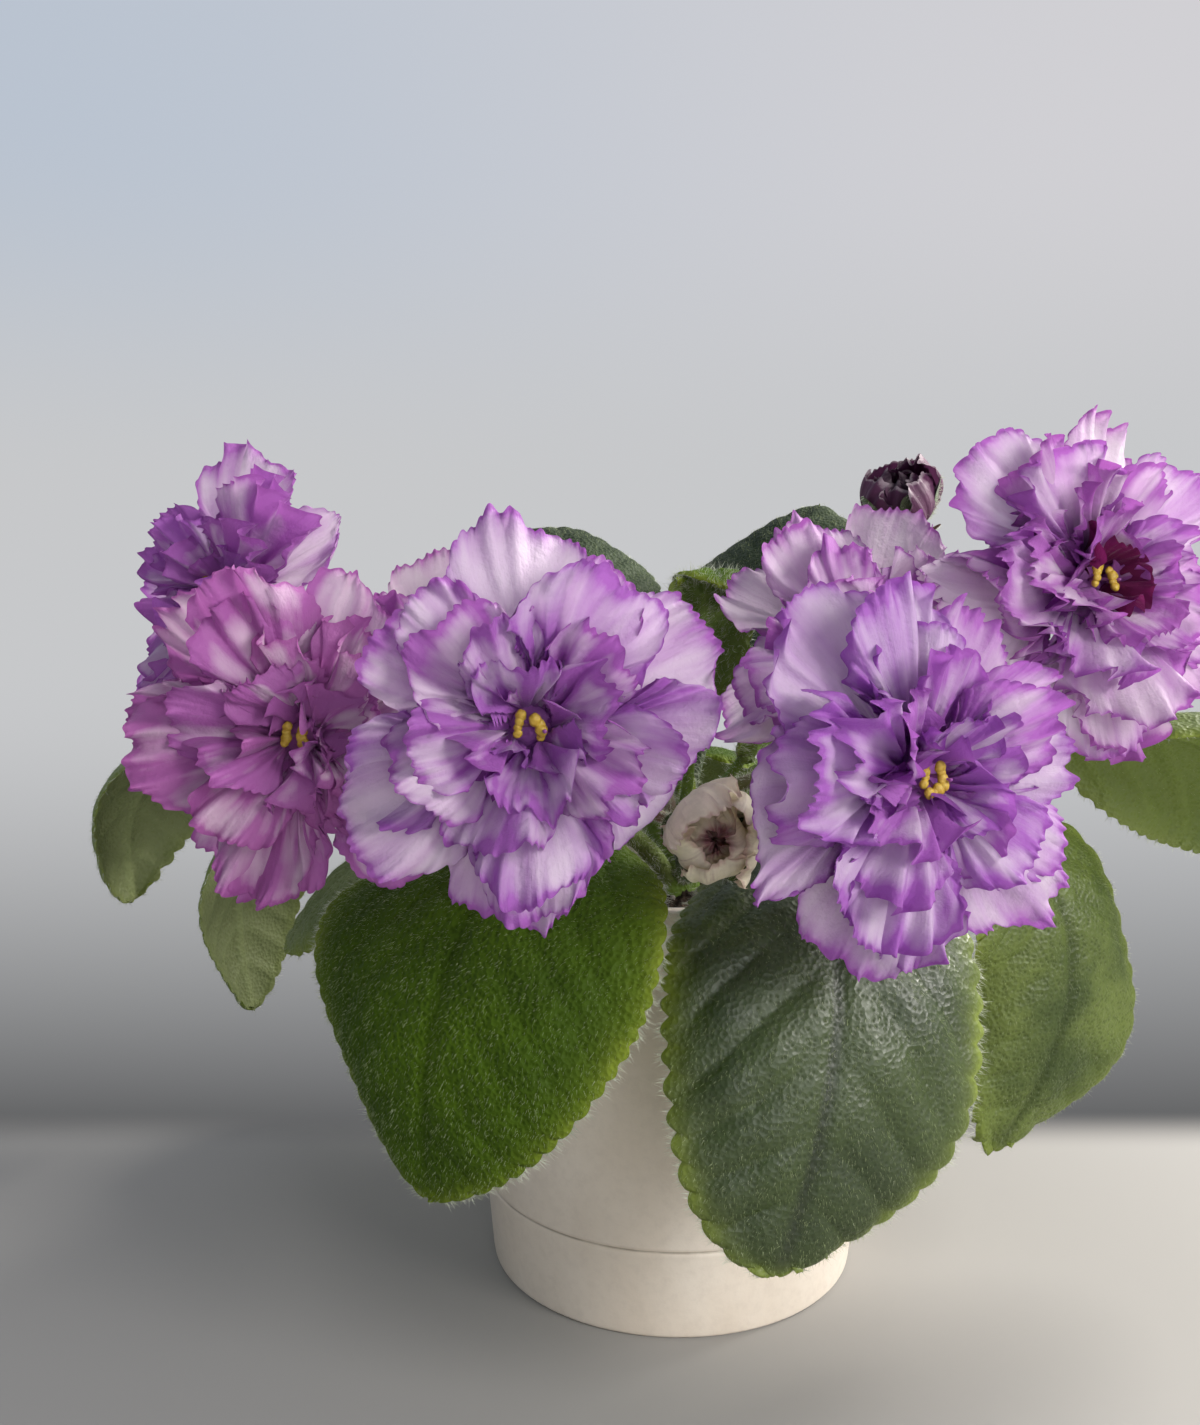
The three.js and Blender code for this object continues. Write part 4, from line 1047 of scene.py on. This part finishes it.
def make_stamens(name, bloom, looks):
    front, right, top = face_of(bloom.facing)
    draw = drawer(bloom.seed + 500)
    base = vector(bloom.at) + front * (CORE.levels[-1] + GAP)
    skin = Skin()
    for k in range(2 + bloom.seed % 2):
        x, y, axis_right, axis_up = HEADS[k]
        x = x + 0.5 * (draw() - 0.5)
        y = y + 0.6 * (draw() - 0.5)
        axis = unit(top * axis_up + right * axis_right + 0.6 * (draw() - 0.5) * front)
        aside = unit(cross(front, axis))
        head = moved(base, (right, top, front), x, y, STAMEN.height + STAMEN.taller * draw())
        stem = bezier([base + 0.3 * right * x, mix(base, head, 0.5), head - front * 0.5], linspace(0, 1, 6))
        tube(skin, stem, STAMEN.thread, 8, own=0.75)
        for n in range(STAMEN.sacs):
            size = STAMEN.sac + STAMEN.larger * draw()
            apart = (n - 1.5) * STAMEN.apart, 0.6 * (draw() - 0.5), 0.5 * (draw() - 0.5)
            where = moved(head, (axis, aside, front), *apart)
            axes = aside, cross(axis, aside), axis
            ball = ellipsoid(where, axes, (size, 0.75 * size, 1.05 * size), 12, 16)
            lump = 1 + 0.12 * ripples(ball[..., 0] * 3, ball[..., 2] * 3, n + k, 6, 3)
            skin.grid(where + (ball - where) * lump[..., None], wrap=True, own=0.0)
    steps = linspace(0, 1, 8)
    guides = [base, base + right * 0.6 + front * 2.5, base + right * 2.2 - top * 0.6 + front * 4.4]
    style = bezier(guides, steps)
    tube(skin, style, mix(0.3, 0.2, steps), 8, own=1.0)
    skin.grid(ellipsoid(style[-1], (right, top, front), (0.36, 0.36, 0.36), 6, 8), wrap=True, own=1.0)
    skin.build("anthers_" + name, looks, "stamen", "stamens_" + name)


def make_bud(name, bud, looks):
    """Petals that curl in over one another, and leave a mouth between their frilled lips that is darkened
    with painted shade.
    """
    face = face_of(bud.facing)
    front, at = face[0], vector(bud.at)
    draw = drawer(900 + len(name))
    flower = Group(reach=bud.length * bud.curl, longest=(100, 0.12))
    skin = Skin()
    for k, ring in enumerate(BUD_RINGS):
        for n in range(ring.count):
            petal = petal_of(ring, ring.turn + 360 * n / ring.count, flower, draw)
            add_petal(skin, petal, face, at, [], 0.8, own=40.0 + n, layer=0.5 * k)
    points = np.vstack(skin.points) - at
    from_axis = np.linalg.norm(points - (points @ front)[:, None] * front, axis=1)
    # deep: where the bud's mouth gets its painted shade.
    deep = ease(0.5 * bud.belly, 0.1 * bud.belly, from_axis) * ease(3, 8, points @ front)
    skin.values["deep"] = [(0, deep)]
    skin.build("bud_petals_" + name, looks, bud.slot, "bud_" + name)


def make_sepals(name, bud, looks, hairs):
    """Green sepals that clasp a bud."""
    front, right, top = face_of(bud.facing)
    reach = bud.clasped
    skin = Skin()
    t = linspace(0, 1, 24)[:, None]
    u = linspace(-1, 1, 13)[None]
    for k in range(CALYX.sepals):
        turn = TURN * (k + 0.25) / CALYX.sepals
        belly = bud.belly * sin(pi * (0.13 + 0.5 * t * reach)) ** 0.8
        radius = mix(1.2, belly + 0.7, ease(0, 0.25, t)) + 0.5 * ease(0.7, 1, t)
        spread = 0.52 * u * (1 - t**2) ** 0.6 + 0.06 * sin(6 * t + k)
        out = moved(0, (right, top), radius * cos(turn + spread), radius * sin(turn + spread))
        sheet = moved(vector(bud.at) + out, [front], bud.length * reach * t - 0.6)
        skin.grid(sheet)
        hairs.over(sheet, unit(out), 260, HAIR.bud)
    skin.build("bud_sepals_" + name, looks, "stalk")


# ---------------------------------------------------------------- flower stalks
def back_of(name):
    flower = BLOOMS.get(name) or BUDS[name]
    face = face_of(flower.facing)
    behind = GAP - (CORE.levels[0] if name in BLOOMS else 0)
    return vector(flower.at) - face[0] * behind, face


def make_stalk(name, stalk, looks, hairs):
    skin = Skin()
    fork = vector(stalk.fork)
    root = root_of(stalk.root)
    rise = root * (2.6, 2.6, 1) + (0, 0, 12)
    steps = linspace(0, 1, 40)
    stem = tube(skin, bezier([root, rise, fork], steps), STALK.radius * (1 - 0.15 * steps), 14)
    hairs.over(*stem, 1300, HAIR.stem)
    t = linspace(0, 1, 16)[:, None]
    u = linspace(-1, 1, 7)[None]
    for end_name in stalk.ends:
        at, (front, right, top) = back_of(end_name)
        end = at - front * CALYX.depth
        lean = at - front * (CALYX.depth + 0.45 * np.linalg.norm(end - fork))
        curve = bezier([fork, lean, end], steps)
        points = np.vstack([curve, at - front * 2.0, at])
        radii = concatenate([np.full(40, STALK.pedicel), [CALYX.waist * 0.85, CALYX.top * 0.9]])
        radii[38:40] *= (1.15, 1.4)
        hairs.over(*tube(skin, points, radii, 12), 900, HAIR.pedicel)
        for k in range(CALYX.sepals):
            angle = TURN * (k + 0.5) / CALYX.sepals
            outward = right * cos(angle) + top * sin(angle)
            aside = cross(front, outward)
            reach = 1.4 + (CALYX.sepal - 1.0) * t
            half = 1.45 * (1 - t) ** 0.6 * (0.75 + 0.9 * t) + 0.05
            height = -CALYX.back + 1.9 * t**1.6 - 0.35 * (1 - u**2)
            sheet = moved(at, (outward, aside, front), reach, half * u, height)
            skin.grid(sheet)
            hairs.over(sheet, -front + 0 * sheet, 70, HAIR.calyx)
    skin.build("stalks_" + name, looks, "stalk", "stalk_" + name)


# ---------------------------------------------------------------- the whole plant
down = Hairs(5)
fringe = Hairs(6)
UNDER = (0.2, 0.25, 0.085)
leaf_dull = leaf_looks(
    "leaf", (0.046, 0.092, 0.003), (0.076, 0.145, 0.004), UNDER, (0.55, 0.75), 0.2, 0.0005, 0.15)
leaf_glossy = leaf_looks(
    "leaf_glossy", (0.02, 0.042, 0.003), (0.045, 0.078, 0.008), UNDER, (0.38, 0.5), 1.0, 0.00022, 0.8)
leaf_light = leaf_looks(
    "leaf_light", (0.056, 0.09, 0.014), (0.165, 0.222, 0.042), (0.2, 0.275, 0.045), (0.4, 0.52), 0.6, 0.00035)
leaf_pale = leaf_looks(
    "leaf_pale", (0.19, 0.25, 0.09), (0.28, 0.345, 0.13), (0.3, 0.35, 0.15), (0.5, 0.65), 0.5, 0.0004, 0.2)
leaf_shaded = leaf_looks(
    "leaf_shaded", (0.03, 0.05, 0.024), (0.07, 0.098, 0.052), (0.12, 0.155, 0.085), (0.55, 0.75), 0.3, 0.0005,
    0.4, rim=(0.1, 0.135, 0.065), through=(0.05, 0.075, 0.03))
# Young leaves: a paler green, with colours raised further as painted light.
leaf_young = leaf_looks(
    "leaf_young", (0.1, 0.2, 0.006), (0.16, 0.3, 0.01), (0.17, 0.26, 0.06), (0.5, 0.7), 0.3, 0.0004)
stalk_skin = stalk_looks("stalk", (0.17, 0.2, 0.06), (0.19, 0.09, 0.06))
sepal_skin = stalk_looks("sepal", (0.09, 0.15, 0.04), (0.05, 0.06, 0.035))
petal_skin = petal_looks()
anther_skin = anther_looks()
bud_skins = dict(
    front=bud_looks("bud", (0.88, 0.82, 0.62), (0.55, 0.4, 0.32), (0.22, 0.085, 0.1)),
    back=bud_looks("dark_bud", (0.13, 0.035, 0.1), (0.46, 0.38, 0.42), (0.035, 0.012, 0.03)))
NEAR, NOT_NEAR = dict(front_left=1.0, front_right=1.0, right_low=0.7), 0.35
LEAF_LOOKS = dict(
    front_right=leaf_glossy, right_low=leaf_light, right_far=leaf_light,
    back_up=leaf_shaded, back_right_up=leaf_shaded, young_front=leaf_young, young_back=leaf_young,
    left_far=leaf_pale, left_hanging=leaf_pale, left_short=leaf_pale)

make_pot()
make_soil()
make_crown(leaf_young, fringe)
for number, (key, leaf) in enumerate(LEAVES.items()):
    make_leaf(key, leaf, LEAF_LOOKS.get(key, leaf_dull), down, fringe, number + 1, NEAR.get(key, NOT_NEAR))
for key, bloom in BLOOMS.items():
    make_bloom(key, bloom, petal_skin)
    make_stamens(key, bloom, anther_skin)
for key, bud in BUDS.items():
    make_bud(key, bud, bud_skins[key])
    make_sepals(key, bud, sepal_skin, fringe)
for key, stalk in STALKS.items():
    make_stalk(key, stalk, stalk_skin, fringe)
down.build("hairs", hair_looks("hair", (0.42, 0.5, 0.24)))
fringe.build("fringe_hairs", hair_looks("fringe", (0.7, 0.74, 0.6)))

# ---------------------------------------------------------------- floor, light and camera
# From here on, lengths are in metres.
TABLE = (0.375, 0.365, 0.35)
WALL = (0.571, 0.578, 0.591)
WALL_LEFT = (0.487, 0.545, 0.631)
WALL_RIGHT = (0.638, 0.631, 0.658)
FRONT_OF_ROOM = 0.44  # how bright the room is in front of the plant, against behind it
ROOM_RAMP = (-0.7, 0.4, FRONT_OF_ROOM, 1.0)  # over the direction, from the front to the back
ROOM_SIZE = 60
FADE = Group(start=0.02, length=0.26, depth=0.92)  # from the dark foot of the room to its wall


def floor_looks():
    """A table in front. Behind it and far away, the floor is black and glows as bright as the room is
    in that direction, so no line shows between them: painted light standing in for the room's walls."""
    looks = Looks("floor")
    place = looks.place()
    y = looks.node("SeparateXYZ", {0: place}, output=1)
    away = looks.node("VectorMath", {0: place}, output=1, operation="LENGTH")
    back, far = looks.ramp(y, 0.045, 0.07), looks.ramp(away, 0.6, 2.5)
    # The glow is dim just behind the table's back edge and rises towards the far wall.
    fade = looks.times(looks.most(looks.math("SUBTRACT", y, FADE.start), 0.0), -1 / FADE.length)
    glow = looks.math("SUBTRACT", 1.0, looks.times(looks.math("EXPONENT", fade), FADE.depth))
    glow = looks.most(looks.times(glow, back), far)
    towards = looks.math("DIVIDE", y, looks.most(away, 0.01))
    colour = looks.blend(looks.most(back, far), TABLE, (0.0, 0.0, 0.0))
    looks.set(Base_Color=colour, Roughness=0.85, Specular_IOR_Level=0.0)
    looks.set(Emission_Color=WALL, Emission_Strength=looks.times(glow, looks.ramp(towards, *ROOM_RAMP)))
    return looks.material


scene = bpy.context.scene
scene.view_settings.view_transform = "Standard"
bpy.ops.mesh.primitive_plane_add(size=ROOM_SIZE, location=(0, 0, 0))
floor = bpy.context.object
floor.name = "floor"
floor.data.materials.append(floor_looks())

world = bpy.data.worlds.new("studio")
scene.world = world
sky = Looks("studio", world)
direction = sky.node("TexCoord", {}, output="Generated")
x, y, z = (sky.node("SeparateXYZ", {0: direction}, output=k) for k in range(3))
colour = sky.blend(sky.ramp(x, -0.45, 0.4), WALL_LEFT, WALL_RIGHT)
sky.set(Color=sky.blend(sky.ramp(z, 0.05, 0.3, 1.0, 0.0), colour, WALL))
sky.set(Strength=sky.ramp(y, *ROOM_RAMP))


def area_light(name, place, target, size, energy, colour):
    light = bpy.data.lights.new(name, "AREA")
    light.shape = "DISK"
    light.size = size
    light.energy = energy
    light.color = colour
    lamp = bpy.data.objects.new(name, light)
    lamp.location = place
    lamp.rotation_euler = (Vector(target) - Vector(place)).to_track_quat("-Z", "Y").to_euler()
    scene.collection.objects.link(lamp)


FLOWERS, FRONT_LEAVES = (0, -0.03, 0.11), (0.01, -0.08, 0.07)
area_light("window", (0.6, 0.26, 0.47), FLOWERS, 0.25, 8.5, (1.0, 0.96, 0.9))
area_light("right_fill", (0.42, -0.42, 0.34), FLOWERS, 0.3, 3.2, (1.0, 0.97, 0.94))
area_light("front_sheen", (0.13, -0.72, 0.15), FRONT_LEAVES, 0.34, 0.95, (0.97, 0.98, 1.0))

# tilt: in degrees, from straight down. focus: the focal length, against the picture's longer side.
CAMERA = Group(place=(-0.0162, -0.2854, 0.154), tilt=83.6, sensor=36, focus=1300 / 1425, clip=0.01)
camera = bpy.data.cameras.new("camera")
camera.sensor_width = CAMERA.sensor
camera.lens = CAMERA.sensor * CAMERA.focus
camera.clip_start = CAMERA.clip
eye = bpy.data.objects.new("camera", camera)
eye.location = CAMERA.place
eye.rotation_euler = (radians(CAMERA.tilt), 0, 0)
scene.collection.objects.link(eye)
scene.camera = eye
